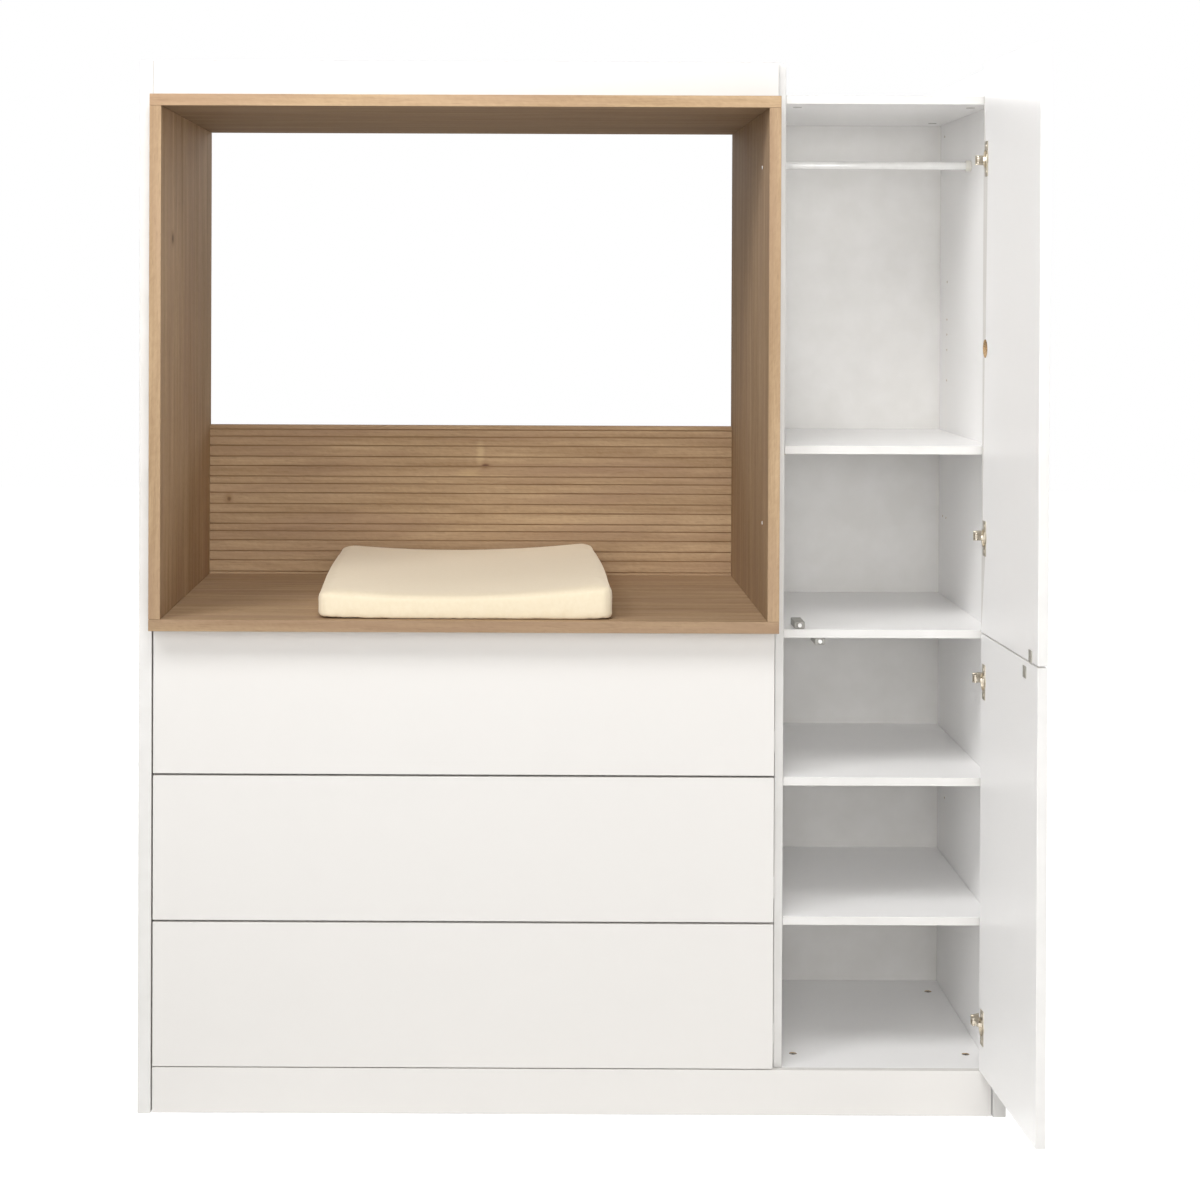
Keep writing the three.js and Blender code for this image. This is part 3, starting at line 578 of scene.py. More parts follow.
def banded(shape, plane_y):
    """Gives the front edge of a board its edge band, the second finish."""
    for face in shape.faces:
        if face.normal.y < -0.5 and abs(face.calc_center_median().y - plane_y) < 1.2 * MM:
            face.material_index = 1


# ---------------- settings

def length_setting(name, description, default, low, high):
    """A length that can be set, in metres."""
    return bpy.props.FloatProperty(name=name, description=description, default=default,
                                   min=low, max=high, unit="LENGTH")


def colour_setting(name, description, hex_colour):
    """A colour that can be set."""
    return bpy.props.FloatVectorProperty(
        name=name, description=description, default=linear(hex_colour)[:3],
        subtype="COLOR", size=3, min=0.0, max=1.0)


class DresserSizes(bpy.types.PropertyGroup):
    """Sizes of the finish that a maker may want to change."""
    board_edge: length_setting(
        "Board edge", "Radius of a white board's edge band", 0.001, 0.0002, 0.002)
    oak_edge: length_setting(
        "Oak edge", "Radius of an oak board's edge", 0.0007, 0.0002, 0.002)
    pad_voxel: length_setting(
        "Pad mesh", "Spacing of the pad's mesh before its cloth settles", 0.006, 0.004, 0.012)
    pad_swell: length_setting(
        "Pad swell", "Most that the pad's cover may move as it fills", 0.008, 0.0, 0.03)


class DresserColours(bpy.types.PropertyGroup):
    """Colours of the finishes."""
    white_board: colour_setting("White board", "Faces of the white boards", "#E0DDD9")
    # Set far lighter than the white board: painted light for the shaded inside
    inner_board: colour_setting("Inner board", "Boards inside the wardrobe", "#FCFBFA")
    oak_light: colour_setting("Oak, light", "Early wood of the oak foil", "#C3A887")
    oak_dark: colour_setting("Oak, dark", "Late wood of the oak foil", "#987B5D")
    oak_rosy: colour_setting("Oak, rosy", "Grey-rose patches of the oak foil", "#A98C74")
    oak_pore: colour_setting("Oak, pores", "Open pores of the oak foil", "#6C523C")
    pad_cover: colour_setting("Pad cover", "Knitted cover of the changing pad", "#EADDC3")


class DresserOperator:
    """What the dresser's operators share."""
    bl_options = {"REGISTER", "UNDO"}

    def execute(self, context):
        self.build(context.scene)
        return {"FINISHED"}


# ---------------- stage

class DRESSER_OT_stage(DresserOperator, bpy.types.Operator):
    """Sets the camera, the floor and the studio light"""
    bl_idname = "dresser.stage"
    bl_label = "Stage"

    def build(self, scene):
        self.camera(scene)
        self.floor()
        self.light(scene)
        scene.view_settings.view_transform = "Standard"

    def camera(self, scene):
        pitch, yaw, roll = -0.0073, 0.00203, 0.00387
        turn = Matrix.Rotation(yaw, 3, "Z") @ Matrix.Rotation(pitch, 3, "X")
        right, ahead, up = turn.col
        level_right = math.cos(roll) * right + math.sin(roll) * up
        level_up = -math.sin(roll) * right + math.cos(roll) * up
        data = bpy.data.cameras.new("photo_view")
        data.lens = 69.684
        data.sensor_width = 36.0
        data.shift_x = 0.0787
        data.shift_y = -0.24
        camera = bpy.data.objects.new("photo_view", data)
        basis = Matrix((level_right, level_up, -ahead)).transposed().to_4x4()
        camera.matrix_world = Matrix.Translation((-0.12209, -4.54254, 1.55781)) @ basis
        scene.collection.objects.link(camera)
        scene.camera = camera

    def floor(self):
        shape = bmesh.new()
        bmesh.ops.create_grid(shape, x_segments=1, y_segments=1, size=14.0)
        material = bpy.data.materials.new("white_studio_floor")
        material.use_nodes = True
        material.node_tree.nodes.clear()
        add = partial(add_node, material.node_tree)
        matt = add("BsdfDiffuse", {"Color": linear("#F0F0EF")})
        place = add("TexCoord").outputs["Object"]
        away = add("VectorMath", {"operation": "LENGTH"}, {0: place})
        # Full white far off, where the lamps fade; less near the object, to keep its shadow
        fade = add("MapRange", {"From Min": 1.0, "From Max": 2.6, "To Min": 0.82, "To Max": 1.0},
                   {"Value": away.outputs["Value"]})
        glow = add("Emission", {"Color": WHITE}, {"Strength": fade})
        lifted = add("AddShader", {}, {0: matt, 1: glow})
        mixed = add("MixShader", {}, {0: self.seen(add), 1: matt, 2: lifted})
        add("OutputMaterial", {}, {"Surface": mixed})
        floor = placed("studio_floor", shape)
        floor.data.materials.append(material)

    def seen(self, add):
        """1 where the camera, a reflection or a clear material looks at the backdrop."""
        path = add("LightPath")
        some = path.outputs["Is Camera Ray"]
        for ray in ("Glossy", "Transmission"):
            some = add("Math", {"operation": "MAXIMUM"},
                       {0: some, 1: path.outputs[f"Is {ray} Ray"]})
        return some

    def light(self, scene):
        world = bpy.data.worlds.new("studio")
        world.use_nodes = True
        world.node_tree.nodes.clear()
        add = partial(add_node, world.node_tree)
        # A faint fill on the object, and full white behind it
        soft, white = (add("Background", {"Color": WHITE, "Strength": strength})
                       for strength in (0.055, 1.0))
        mixed = add("MixShader", {}, {0: self.seen(add), 1: soft, 2: white})
        add("OutputWorld", {}, {"Surface": mixed})
        scene.world = world
        for name, place, aim, size, watts in (
                ("front_softbox", (0.0, -8.0, 1.6), (0.0, 0.0, 1.0), 2.0, 106.0),
                ("middle_softbox", (0.0, -4.2, 2.1), (0.0, 0.0, 1.4), 1.5, 40.0),
                ("left_softbox", (-6.0, -6.0, 3.5), (0.0, 0.0, 1.0), 2.5, 105.0),
                ("top_softbox", (-0.3, -2.2, 3.7), (0.0, 0.0, 1.3), 1.2, 47.0),
                ("top_left_softbox", (-1.9, -2.0, 3.4), (0.2, 0.2, 1.2), 1.2, 36.0),
                ("right_softbox", (5.0, -6.0, 2.6), (0.0, 0.0, 1.0), 2.5, 27.0),
                ("right_side_softbox", (5.5, 0.1, 2.2), (0.8, 0.1, 1.0), 1.2, 90.0),
                ("rear_softbox", (0.2, 6.5, 3.2), (0.0, 0.0, 1.0), 2.5, 150.0)):
            data = bpy.data.lights.new(name, "AREA")
            data.shape = "SQUARE"
            data.size = size
            data.energy = watts
            lamp = bpy.data.objects.new(name, data)
            lamp.location = place
            way = Vector(aim) - Vector(place)
            lamp.rotation_euler = way.to_track_quat("-Z", "Y").to_euler()
            lamp.visible_camera = False
            scene.collection.objects.link(lamp)


# ---------------- carcass

# Holes in the wardrobe's walls, as (Y, Z): a row for shelf pins, and three more
WALL_HOLES = [(505.0, z) for z in (1589.1, 1509.6, 1478.0, 1445.7, 1381.1, 1090.6, 498.5)]
WALL_HOLES += [(127.0, 1898.0), (541.0, 1898.0), (543.0, 1091.0)]


class DRESSER_OT_carcass(DresserOperator, bpy.types.Operator):
    """Makes the white boards with their edge bands and drilled holes"""
    bl_idname = "dresser.carcass"
    bl_label = "Carcass boards"

    def build(self, scene):
        self.edge = scene.dresser_sizes.board_edge / MM
        self.upright("left_side_panel", LEFT_SLAB, None)
        self.upright("mid_partition", MIDDLE_SLAB, self.holes(MIDDLE_SLAB[1], -1.0))
        self.upright("right_side_panel", RIGHT_SLAB, self.holes(RIGHT_SLAB[0], 1.0))
        for node in ("top_panel", "top_fascia", "front_plinth", "rear_plinth",
                     "drawer_bay_bottom"):
            self.flat(node, "white_board", "white_melamine_board")
        # The wardrobe's floor, ceiling and shelves take the inner board, lightened as painted
        # light
        for node in ("wardrobe_bottom", "wardrobe_top"):
            self.flat(node, "inner_board", "inner_melamine_board", self.cams(node))
        for row in range(1, 5):
            self.flat(f"shelf_{row}", "inner_board", "inner_melamine_board")
        # The backs take the back board, partly lightened as painted light
        for node in ("drawer_bay_back", "wardrobe_back"):
            self.flat(node, "back_board", "inner_melamine_board")

    def holes(self, x, inward):
        """Holes of 5 mm in a wall of the wardrobe."""
        return [(at(x, y, z), (inward, 0, 0), 2.5, 11.0) for y, z in WALL_HOLES]

    def cams(self, node):
        """Bores of 15 mm for the cam fittings near the board's four corners."""
        z, inward = WARDROBE_CEILING_Z, 1.0
        if node == "wardrobe_bottom":
            z, inward = WARDROBE_FLOOR_Z, -1.0
        return [(at(x, y, z), (0, 0, inward), 7.5, 12.0) for x, y in CAM_PLACES]

    def upright(self, node, slab, bores):
        """A side panel or the partition, with the runner channels and shelf pins on it.

        Its finishes are the board, its band, the channels, the pins, the drilled holes and the
        face towards the wardrobe, made lighter as painted light.
        """
        shape = copied(node)
        low = at(slab[0], SETBACK if node == "mid_partition" else 0, 0)
        high = at(slab[1], DEPTH, HEIGHT)
        low.z, high.z = (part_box(node)[i][2] for i in (0, 1))
        rounded(shape, box_edges(shape, low, high), self.edge)
        if bores:
            shape = drilled(shape, bores, 4)
        for face in shape.faces:
            middle = face.calc_center_median()
            if low.x - NEAR <= middle.x <= high.x + NEAR:
                continue
            in_channel = any(self.near_channel(middle.z, row) for row in DRAWER_ROWS)
            wardrobe = (node == "right_side_panel"
                        or node == "mid_partition" and middle.x > high.x)
            face.material_index = 3 if wardrobe or not in_channel else 2
        inside = {"mid_partition": high.x, "right_side_panel": low.x}.get(node)
        for face in shape.faces:
            if (inside is not None and face.material_index == 0 and abs(face.normal.x) > 0.9
                    and abs(face.calc_center_median().x - inside) < 0.1 * MM):
                face.material_index = 5
        banded(shape, low.y)
        piece(f"board_{node}", shape,
              ("white_board", "edge_band", "zinc", "nickel", "raw_board", "inner_board"),
              "cabinet", (node,))

    def near_channel(self, z, row):
        """Whether a height lies on the runner channel of a drawer."""
        return abs(z - CORNER.z - (DRAWER_LOW[row] + RUNNER_LIFT) * MM) < RUNNER_REACH * MM

    def flat(self, node, finish, slot, bores=()):
        """A board whose box is its own."""
        shape = softened(node, min(self.edge, 0.8))
        if bores:
            shape = drilled(shape, bores, 2)
        if node not in ("top_fascia", "front_plinth", "rear_plinth"):
            banded(shape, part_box(node)[0][1])
        piece(f"board_{node}", shape, (finish, "edge_band", "raw_board"),
              "cabinet", (node,))


class DRESSER_OT_fittings(DresserOperator, bpy.types.Operator):
    """Adds the cam fittings, their covers and the plugs of the carcass"""
    bl_idname = "dresser.fittings"
    bl_label = "Cam fittings and plugs"

    def build(self, scene):
        cams = bmesh.new()
        for x, y in CAM_PLACES:
            self.cam(cams, at(x, y, CAM_SEAT_Z))
        piece("bottom_cam_fittings", cams, ("zinc", "recess_painted_shade"),
              "cabinet", smooth=40)
        covers = bmesh.new()
        for x, y in CAM_PLACES:
            turned_shape(covers, ((0, 0), (8.6, 0), (8.8, 0.5), (8.0, 1.1), (0, 1.3)),
                         at(x, y, WARDROBE_CEILING_Z), (0, 0, -1), 28)
        piece("top_cam_covers", covers, ("cam_cover",),
              "cabinet", smooth=40)
        plugs = bmesh.new()
        for y, z in ((75.5, 1805.4), (50.4, 1122.8)):
            turned_shape(plugs, ((0, 0), (3.6, 0), (3.6, 0.5), (2.8, 1.0), (0, 1.2)),
                         at(NICHE_X[1] - OAK, y, z), (-1, 0, 0), 18)
        piece("niche_screw_plugs", plugs, ("white_tip",),
              "cabinet", smooth=40)

    def cam(self, shape, base):
        """A cam disc with a cross slot, lying just under the board's face."""
        turned_shape(shape, ((0, 0), (7.2, 0), (7.2, 1.2), (6.8, 1.6), (0, 1.6)),
                     base, (0, 0, 1))
        top = base + Vector((0, 0, 1.6)) * MM
        # The cross slot is thin dark blocks in the recess finish: painted shade
        for wide, long in ((9.0, 1.8), (1.8, 9.0)):
            block(shape, top - Vector((wide / 2, long / 2, 0.2)) * MM,
                  top + Vector((wide / 2, long / 2, 0.15)) * MM, index=1)


# ---------------- niche

# The ribbed panel's grooves: heights of their middles, read from the photo, and their
# section, as (rise from the middle, depth)
GROOVES = (1262.8, 1247.0, 1227.4, 1203.7, 1183.0, 1160.2, 1144.2, 1124.0, 1100.2, 1080.1,
           1056.6, 1040.7, 1020.6, 996.9, 976.7, 952.0)
GROOVE_SECTION = ((-1.4, 0.0), (-1.15, 0.3), (-0.5, 2.2), (0.5, 2.2), (1.15, 0.3), (1.4, 0.0))


class DRESSER_OT_niche(DresserOperator, bpy.types.Operator):
    """Makes the oak frame round the changing place and its ribbed back panel"""
    bl_idname = "dresser.niche"
    bl_label = "Oak niche"

    def build(self, scene):
        edge = scene.dresser_sizes.oak_edge / MM
        for side, way in (("bottom", "bottom"), ("top", "top"),
                          ("left", "upright"), ("right", "upright")):
            node = f"niche_{side}_board"
            shape = softened(node, edge)
            banded(shape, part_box(node)[0][1])
            piece(f"oak_{node}", shape, (f"oak_{side}", f"oak_edge_{way}"), "cabinet",
                  (node,))
        piece("oak_ribbed_panel", self.ribbed(), ("oak_ribbed", "oak_groove"), "cabinet",
              ("niche_ribbed_panel",))

    def ribbed(self):
        """A board with level grooves across its front, its outline drawn along X."""
        low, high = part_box("niche_ribbed_panel")
        outline = [(high[1], low[2]), (low[1], low[2])]
        for z in reversed(GROOVES):
            outline += [(low[1] + depth * MM, CORNER.z + (z + rise) * MM)
                        for rise, depth in GROOVE_SECTION]
        outline += [(low[1], high[2]), (high[1], high[2])]
        shape = bmesh.new()
        end = shape.faces.new([shape.verts.new((low[0], y, z)) for y, z in outline])
        drawn = bmesh.ops.extrude_face_region(shape, geom=[end], use_keep_orig=True)["geom"]
        far = [part for part in drawn if isinstance(part, bmesh.types.BMVert)]
        bmesh.ops.translate(shape, vec=(high[0] - low[0], 0, 0), verts=far)
        bmesh.ops.recalc_face_normals(shape, faces=shape.faces)
        # Faces down in the grooves take the darker groove finish: painted shade
        for face in shape.faces:
            sunk = [(vert.co.y - low[1]) / MM for vert in face.verts]
            face.material_index = int(min(sunk) > 0.2 and max(sunk) < 2.3)
        return shape


# ---------------- drawers

class DRESSER_OT_drawers(DresserOperator, bpy.types.Operator):
    """Makes the three drawers: front, box and runners"""
    bl_idname = "dresser.drawers"
    bl_label = "Drawers"

    def build(self, scene):
        edge = scene.dresser_sizes.board_edge / MM
        for number, row in enumerate(DRAWER_ROWS, 1):
            body = f"{row}_drawer"
            stem = f"drawer_{number}"
            piece(f"{row}_drawer_face", softened(f"{stem}_front", edge, 3), ("white_board",),
                  body, (f"{stem}_front",))
            for side in ("left", "right"):
                self.side(f"{stem}_{side}_side", body, side)
            # The back takes the inner board, lightened as painted light
            for part, finish in (("back", "inner_board"), ("bottom", "back_board")):
                piece(f"{row}_drawer_{part}_board", softened(f"{stem}_{part}", 0.5), (finish,),
                      body, (f"{stem}_{part}",))
            self.screws(row, body)

    def side(self, node, body, side):
        """A drawer side with the runner channel that is fixed to it."""
        shape = copied(node)
        low, high = (Vector(p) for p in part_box(node))
        if side == "left":
            low.x = at(DRAWER_BOX_X[0], 0, 0).x
        else:
            high.x = at(DRAWER_BOX_X[1], 0, 0).x
        rounded(shape, box_edges(shape, low, high), 0.6)
        for face in shape.faces:
            middle = face.calc_center_median()
            if not low.x - NEAR <= middle.x <= high.x + NEAR:
                face.material_index = 1
        # The side takes the inner board, lightened as painted light
        piece(f"{body}_{side}_board", shape, ("inner_board", "zinc"), body,
              (node,))

    def screws(self, row, body):
        """Screws that hold the back between the sides, seen from behind."""
        shape = bmesh.new()
        for x in (DRAWER_BOX_X[0] + 8.0, DRAWER_BOX_X[1] - 8.0):
            for z in (60.0, 185.0):
                screw(shape, at(x, DRAWER_BACK_FACE, DRAWER_LOW[row] + z), (0, 1, 0), 3.6, 1.0)
        piece(f"{body}_back_screws", shape, ("zinc", "recess_painted_shade"), body)


# ---------------- doors

class DRESSER_OT_doors(DresserOperator, bpy.types.Operator):
    """Makes the two doors with their bores, and the strike plates on them"""
    bl_idname = "dresser.doors"
    bl_label = "Doors"

    def build(self, scene):
        edge = scene.dresser_sizes.board_edge / MM
        for name, span in (("upper", UPPER_DOOR_Z), ("lower", LOWER_DOOR_Z)):
            self.door(name, span, edge)
            self.strike(name)

    def door(self, name, span, edge):
        """A door: its face, the raw board in its bores, its band and its inner face (both with
        painted light).
        """
        shape = copied(f"{name}_door")
        shut = self.shut_frame()
        bmesh.ops.transform(shape, matrix=shut, verts=shape.verts)
        low, high = at(DOOR_X[0], 0, span[0]), at(DOOR_X[1], FRONT, span[1])
        rounded(shape, box_edges(shape, low, high), edge, 3)
        bores = list(HINGE_Z[name]) + ([SPARE_BORE_Z] if name == "upper" else [])
        for face in shape.faces:
            middle = face.calc_center_median()
            for z in bores:
                mouth = at(CUP_X, 0, z)
                off = math.hypot(middle.x - mouth.x, middle.z - mouth.z)
                if off < CUP_R * 1.01 * MM and low.y + 1 * MM < middle.y < high.y - 0.05 * MM:
                    face.material_index = 1
            if face.material_index == 0 and off > CUP_R * 1.2 * MM:
                if abs(face.normal.x) > 0.5 or abs(face.normal.z) > 0.5:
                    face.material_index = 2
                elif face.normal.y > 0.9:
                    face.material_index = 3
        bmesh.ops.transform(shape, matrix=shut.inverted(), verts=shape.verts)
        piece(f"{name}_door_panel", shape,
              ("white_board", "raw_board", "door_band_painted_light", "inner_board"),
              f"{name}_door_leaf", (f"{name}_door",))

    def shut_frame(self):
        """Carries an open door's mesh to where the door is shut."""
        pole = at(*POLE, 0)
        return (Matrix.Translation(pole) @ Matrix.Rotation(-OPEN, 4, "Z")
                @ Matrix.Translation(-pole))

    def strike(self, name):
        """A pressed steel plate with a countersunk screw."""
        node = f"{name}_strike_plate"
        shape = eased(node, 80, 0.35)
        x, z = STRIKES[name]
        screw(shape, opened(x, STRIKE_Y, z), INWARD, 3.4, 0.55)
        piece(f"{name}_door_strike", shape, ("zinc", "recess_painted_shade"), f"{name}_door_leaf",
              (node,))


# ---------------- hinges

class DRESSER_OT_hinges(DresserOperator, bpy.types.Operator):
    """Makes the four concealed hinges: cup, link and cranked arm on its plate"""
    bl_idname = "dresser.hinges"
    bl_label = "Hinges"

    def build(self, scene):
        for name, heights in HINGE_Z.items():
            for number, z in enumerate(heights, 1):
                stem = f"{name}_hinge_{number}"
                self.cup(stem, name, z)
                self.link(stem, name)
                self.arm(stem, z)

    def cup(self, stem, name, z):
        shape = eased(f"{stem}_cup", 60, 0.3)
        for rise in (-24.0, 24.0):
            screw(shape, opened(WINGS_X, CUP_WING_Y, z + rise), INWARD, 4.0, 1.3)
        piece(f"{stem}_cup_pressing", shape, ("nickel", "recess_painted_shade"), f"{name}_door_leaf",
              (f"{stem}_cup",), smooth=32)

    def link(self, stem, name):
        piece(f"{stem}_link_strap", eased(f"{stem}_link", 60, 0.25), ("nickel",),
              f"{name}_hinge_links", (f"{stem}_link",), smooth=32)

    def arm(self, stem, z):
        shape = eased(f"{stem}_arm", 50, 0.5)
        for x, y, rise, radius, height in (
                (ARM_PLATE_X, 57.0, -18.0, 4.2, 1.9), (ARM_PLATE_X, 57.0, 18.0, 4.2, 1.9),
                (ARM_PLATE_X - ARM_RISE, 66.0, 0.0, 3.4, 1.5),
                (ARM_PLATE_X - ARM_RISE, 50.0, 0.0, 2.8, 1.2)):
            screw(shape, at(x, y, z + rise), (-1, 0, 0), radius, height)
        piece(f"{stem}_arm_pressing", shape, ("nickel", "recess_painted_shade"), "cabinet",
              (f"{stem}_arm",), smooth=32)


# ---------------- latches and rail

class DRESSER_OT_latches(DresserOperator, bpy.types.Operator):
    """Makes the push latches beside the fixed shelf"""
    bl_idname = "dresser.latches"
    bl_label = "Push latches"

    def build(self, scene):
        for name, (x, z) in LATCHES.items():
            node = f"{name}_latch_housing"
            piece(f"{name}_latch_body", softened(node, 2.2, 3), ("latch_plastic",), "cabinet",
                  (node,), smooth=35)
            pin = bmesh.new()
            turned_shape(pin, ((0, 0), (2.2, 0), (3.4, 0.5), (3.9, 1.5), (3.9, 6.5), (3.2, 6.8),
                               (3.2, 49.5), (2.7, 50.0), (0, 50.0)), at(x, 19.8, z), (0, 1, 0))
            piece(f"{name}_latch_pin_rod", pin, ("white_tip",), f"{name}_latch_pin",
                  (f"{name}_latch_plunger",), smooth=35)


class DRESSER_OT_rail(DresserOperator, bpy.types.Operator):
    """Makes the clothes rail and the sockets at its ends"""
    bl_idname = "dresser.rail"
    bl_label = "Clothes rail"

    def build(self, scene):
        piece("rail_tube", eased("clothes_rail", 60, 0.5), ("rail_coat",), "cabinet",
              ("clothes_rail",), smooth=35)
        for side in ("left", "right"):
            node = f"{side}_rail_socket"
            piece(f"{side}_rail_cup", eased(node, 60, 0.6), ("socket_plastic",), "cabinet",
                  (node,), smooth=35)


# ---------------- pad

class DRESSER_OT_pad(DresserOperator, bpy.types.Operator):
    """Makes the changing pad: a foam slab raised at both sides, in its knitted cover"""
    bl_idname = "dresser.pad"
    bl_label = "Changing pad"

    # The slab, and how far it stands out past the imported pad
    WIDER = 7.0
    FORWARD = 14.0
    HEIGHT = 63.5
    CORNER = 22.0
    TOP_ROUND = 11.0
    FOOT_ROUND = 5.0
    # How it lies: the sunk middle, the lift of the corners (left and right, front then
    # rear), the crown and the sides' swell at mid-length, the drift and the rear's taper
    DIP_REAR = 11.5
    DIP_FRONT = 14.0
    LIFTS = ((-12.0, -1.0), (0.0, 6.5))
    CROWN = 2.5
    SWELL = 6.0
    SHIFT_FRONT = 6.8
    SHIFT_REAR = 15.5
    TAPER = 5.0
    # The gathered foot: its height, how far out it starts as a share of the half width,
    # how deep the gathers are, and the waves of its lower edge with their height
    HEM = 27.0
    RIM = 0.86
    GATHER = 2.2
    WAVE = 1.6
    WAVE_TOP = 9.0
    # The cloth: frames that it runs, and how much of its movement is kept
    FRAMES = 20
    KEPT = 0.6

    def build(self, scene):
        self.low, self.high = (Vector(p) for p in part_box("changing_pad"))
        self.voxel = scene.dresser_sizes.pad_voxel
        made = placed("pad_slab", self.slab())
        self.finer(made, "REMESH")
        self.contour(made.data)
        self.settle(scene, made, scene.dresser_sizes.pad_swell)
        self.finer(made, "SUBSURF")
        self.hem(made.data)
        shape = bmesh.new()
        shape.from_mesh(made.data)
        bpy.data.objects.remove(made)
        cover = piece("pad_in_jersey_cover", shape, ("cream_jersey",), "loose_pad",
                      ("changing_pad",), smooth=180)

    def slab(self):
        """A block with round upright corners and softer rims, before it sinks and fills."""
        shape = bmesh.new()
        top = self.low.z + self.HEIGHT * MM
        wide, ahead = self.WIDER * MM, self.FORWARD * MM
        block(shape, self.low - Vector((wide, ahead, 0)), (self.high.x + wide, self.high.y, top))
        upright = [e for e in shape.edges if abs(e.verts[0].co.z - e.verts[1].co.z) > 0.02]
        rounded(shape, upright, self.CORNER, 8)
        for bound, radius in ((top, self.TOP_ROUND), (self.low.z, self.FOOT_ROUND)):
            rim = [e for e in shape.edges
                   if all(abs(v.co.z - bound) < 0.1 * MM for v in e.verts)
                   and e.calc_face_angle(0.0) > 0.5]
            rounded(shape, rim, radius, 5)
        return shape

    def finer(self, made, kind):
        """Remeshes or subdivides the object and keeps the result."""
        change = made.modifiers.new("finer", kind)
        if kind == "REMESH":
            change.mode = "VOXEL"
            change.voxel_size = self.voxel
        else:
            change.levels = change.render_levels = 1
        self.keep(made)

    def keep(self, made):
        """Applies the object's modifiers."""
        bpy.context.view_layer.update()
        graph = bpy.context.evaluated_depsgraph_get()
        mesh = bpy.data.meshes.new_from_object(made.evaluated_get(graph))
        made.modifiers.clear()
        made.data = mesh

    def shares(self, point):
        """How far a point lies across and along the pad, and up it, from 0 to 1."""
        return [min(1.0, max(0.0, (point[i] - self.low[i]) / (self.high[i] - self.low[i])))
                for i in range(3)]

    def contour(self, mesh):
        """Sinks the middle between the raised sides and swells the long sides."""
        for vert in mesh.vertices:
            across, along, up = self.shares(vert.co)
            side = min(1.0, abs(2 * across - 1) / 0.94)
            bulge = math.sin(math.pi * along)
            dip = self.DIP_FRONT + (self.DIP_REAR - self.DIP_FRONT) * along
            (front_left, front_right), (rear_left, rear_right) = self.LIFTS
            front = front_left + (front_right - front_left) * across
            rear = rear_left + (rear_right - rear_left) * across
            lift = front + (rear - front) * along - dip * (1 - side ** 2.1) + self.CROWN * bulge
            vert.co.z += lift * MM * up
            vert.co.x -= self.SWELL * MM * bulge * (1 - 2 * across) * side
            vert.co.x -= (self.SHIFT_FRONT + (self.SHIFT_REAR - self.SHIFT_FRONT) * along) * MM
            vert.co.x += self.TAPER * MM * along * (1 - 2 * across)

    def settle(self, scene, made, most):
        """Fills the cover like a cushion, and caps how far any point moves."""
        start = [vert.co.copy() for vert in made.data.vertices]
        cloth = made.modifiers.new("fill", "CLOTH")
        for setting, value in (("quality", 5), ("mass", 0.3), ("tension_stiffness", 25.0),
                               ("compression_stiffness", 25.0), ("bending_stiffness", 2.0),
                               ("use_pressure", True), ("uniform_pressure_force", 4.0)):
            setattr(cloth.settings, setting, value)
        cloth.settings.effector_weights.gravity = 0.0
        cloth.point_cache.frame_start = 1
        cloth.point_cache.frame_end = self.FRAMES
        for step in range(1, self.FRAMES + 1):
            scene.frame_set(step)
        self.keep(made)
        scene.frame_set(1)
        for vert, old in zip(made.data.vertices, start):
            moved = vert.co - old
            if moved.length > most:
                moved *= most / moved.length
            vert.co = old + moved * self.KEPT
            vert.co.z = max(self.low.z, vert.co.z)

    def hem(self, mesh):
        """Gathers the foot of the walls on the elastic, and lifts the front corners a little."""
        middle = (self.low + self.high) / 2
        half = (self.high - self.low) / 2
        for vert in mesh.vertices:
            rise = (vert.co.z - self.low.z) / MM
            if rise > self.HEM:
                continue
            out = Vector(((vert.co.x - middle.x) / half.x, (vert.co.y - middle.y) / half.y, 0.0))
            reach = max(abs(out.x), abs(out.y))
            if reach < self.RIM:
                continue
            edge = min(1.0, (reach - self.RIM) / 0.1)
            fade = max(0.0, 1 - rise / self.HEM) ** 1.5 * edge
            run = vert.co.x if abs(out.y) > abs(out.x) else vert.co.y
            side = 3.0 * round(math.atan2(out.y, out.x) * 2 / math.pi)
            gather = noise.noise((run / (11 * MM), side, rise / 26))
            gather += 0.7 * noise.noise((run / (27 * MM), side + 7.0, rise / 40))
            away = Vector((math.copysign(1, out.x) if abs(out.x) >= abs(out.y) else 0.0,
                           math.copysign(1, out.y) if abs(out.y) > abs(out.x) else 0.0, 0.0))
            vert.co += away * gather * fade * self.GATHER * MM
            if rise < self.WAVE_TOP:
                wave = max(0.0, noise.noise((run / (42 * MM), side + 3.0, 0.5)) - 0.1)
                wave += 0.6 * max(0.0, noise.noise((run / (7 * MM), side + 5.0, 0.5)) - 0.05)
                if vert.co.y < middle.y:
                    wave += 2.0 * max(0.0, abs(out.x) - 0.74) / 0.26
                vert.co.z += wave * edge * self.WAVE * MM * (1 - rise / self.WAVE_TOP) ** 0.5


OPERATORS = (DRESSER_OT_stage, DRESSER_OT_carcass, DRESSER_OT_fittings, DRESSER_OT_niche,
             DRESSER_OT_drawers, DRESSER_OT_doors, DRESSER_OT_hinges, DRESSER_OT_latches,
             DRESSER_OT_rail, DRESSER_OT_pad)


class DRESSER_PT_panel(bpy.types.Panel):
    """Lists the dresser's settings and operators"""
    bl_idname = "DRESSER_PT_panel"
    bl_label = "Changing dresser"
    bl_space_type = "VIEW_3D"
    bl_region_type = "UI"
    bl_category = "Dresser"

    def draw(self, context):
        for settings in (context.scene.dresser_sizes, context.scene.dresser_colours):
            for name in settings.bl_rna.properties.keys():
                if name not in ("rna_type", "name"):
                    self.layout.prop(settings, name)
        for operator in OPERATORS:
            self.layout.operator(operator.bl_idname)


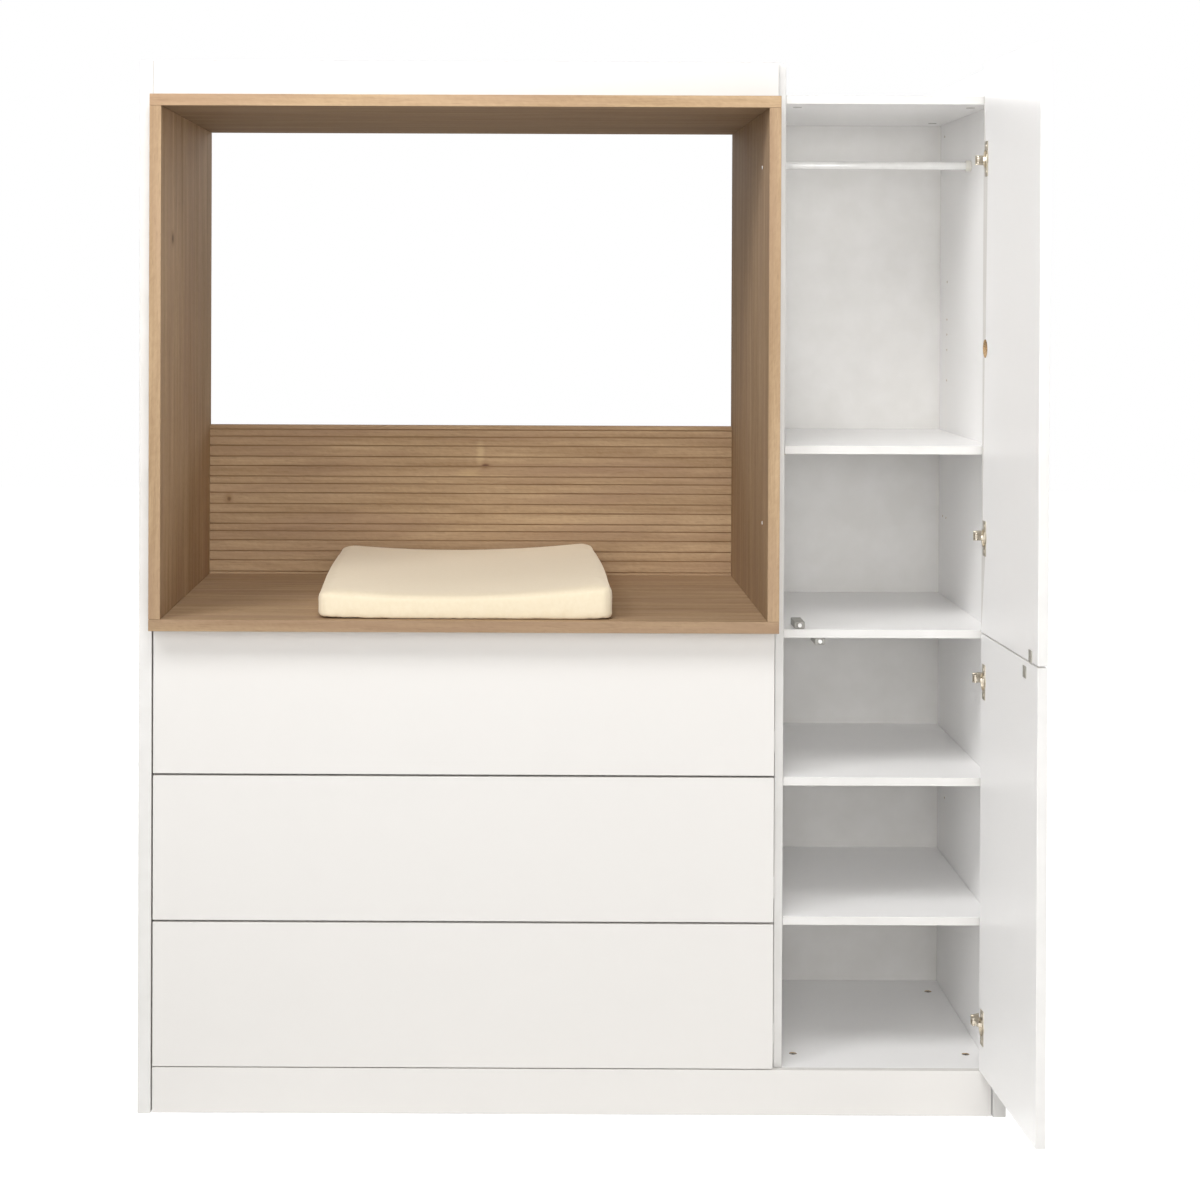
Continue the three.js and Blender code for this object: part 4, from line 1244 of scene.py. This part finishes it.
CLASSES = (DresserSizes, DresserColours) + OPERATORS + (DRESSER_PT_panel,)


def register():
    for kind in CLASSES:
        bpy.utils.register_class(kind)
    bpy.types.Scene.dresser_sizes = bpy.props.PointerProperty(type=DresserSizes)
    bpy.types.Scene.dresser_colours = bpy.props.PointerProperty(type=DresserColours)


def unregister():
    del bpy.types.Scene.dresser_sizes
    del bpy.types.Scene.dresser_colours
    for kind in reversed(CLASSES):
        bpy.utils.unregister_class(kind)


def main():
    register()
    for operator in OPERATORS:
        group, name = operator.bl_idname.split(".")
        if getattr(getattr(bpy.ops, group), name)() != {"FINISHED"}:
            raise RuntimeError(f"{operator.bl_label} could not be made")


if __name__ == "__main__":
    main()
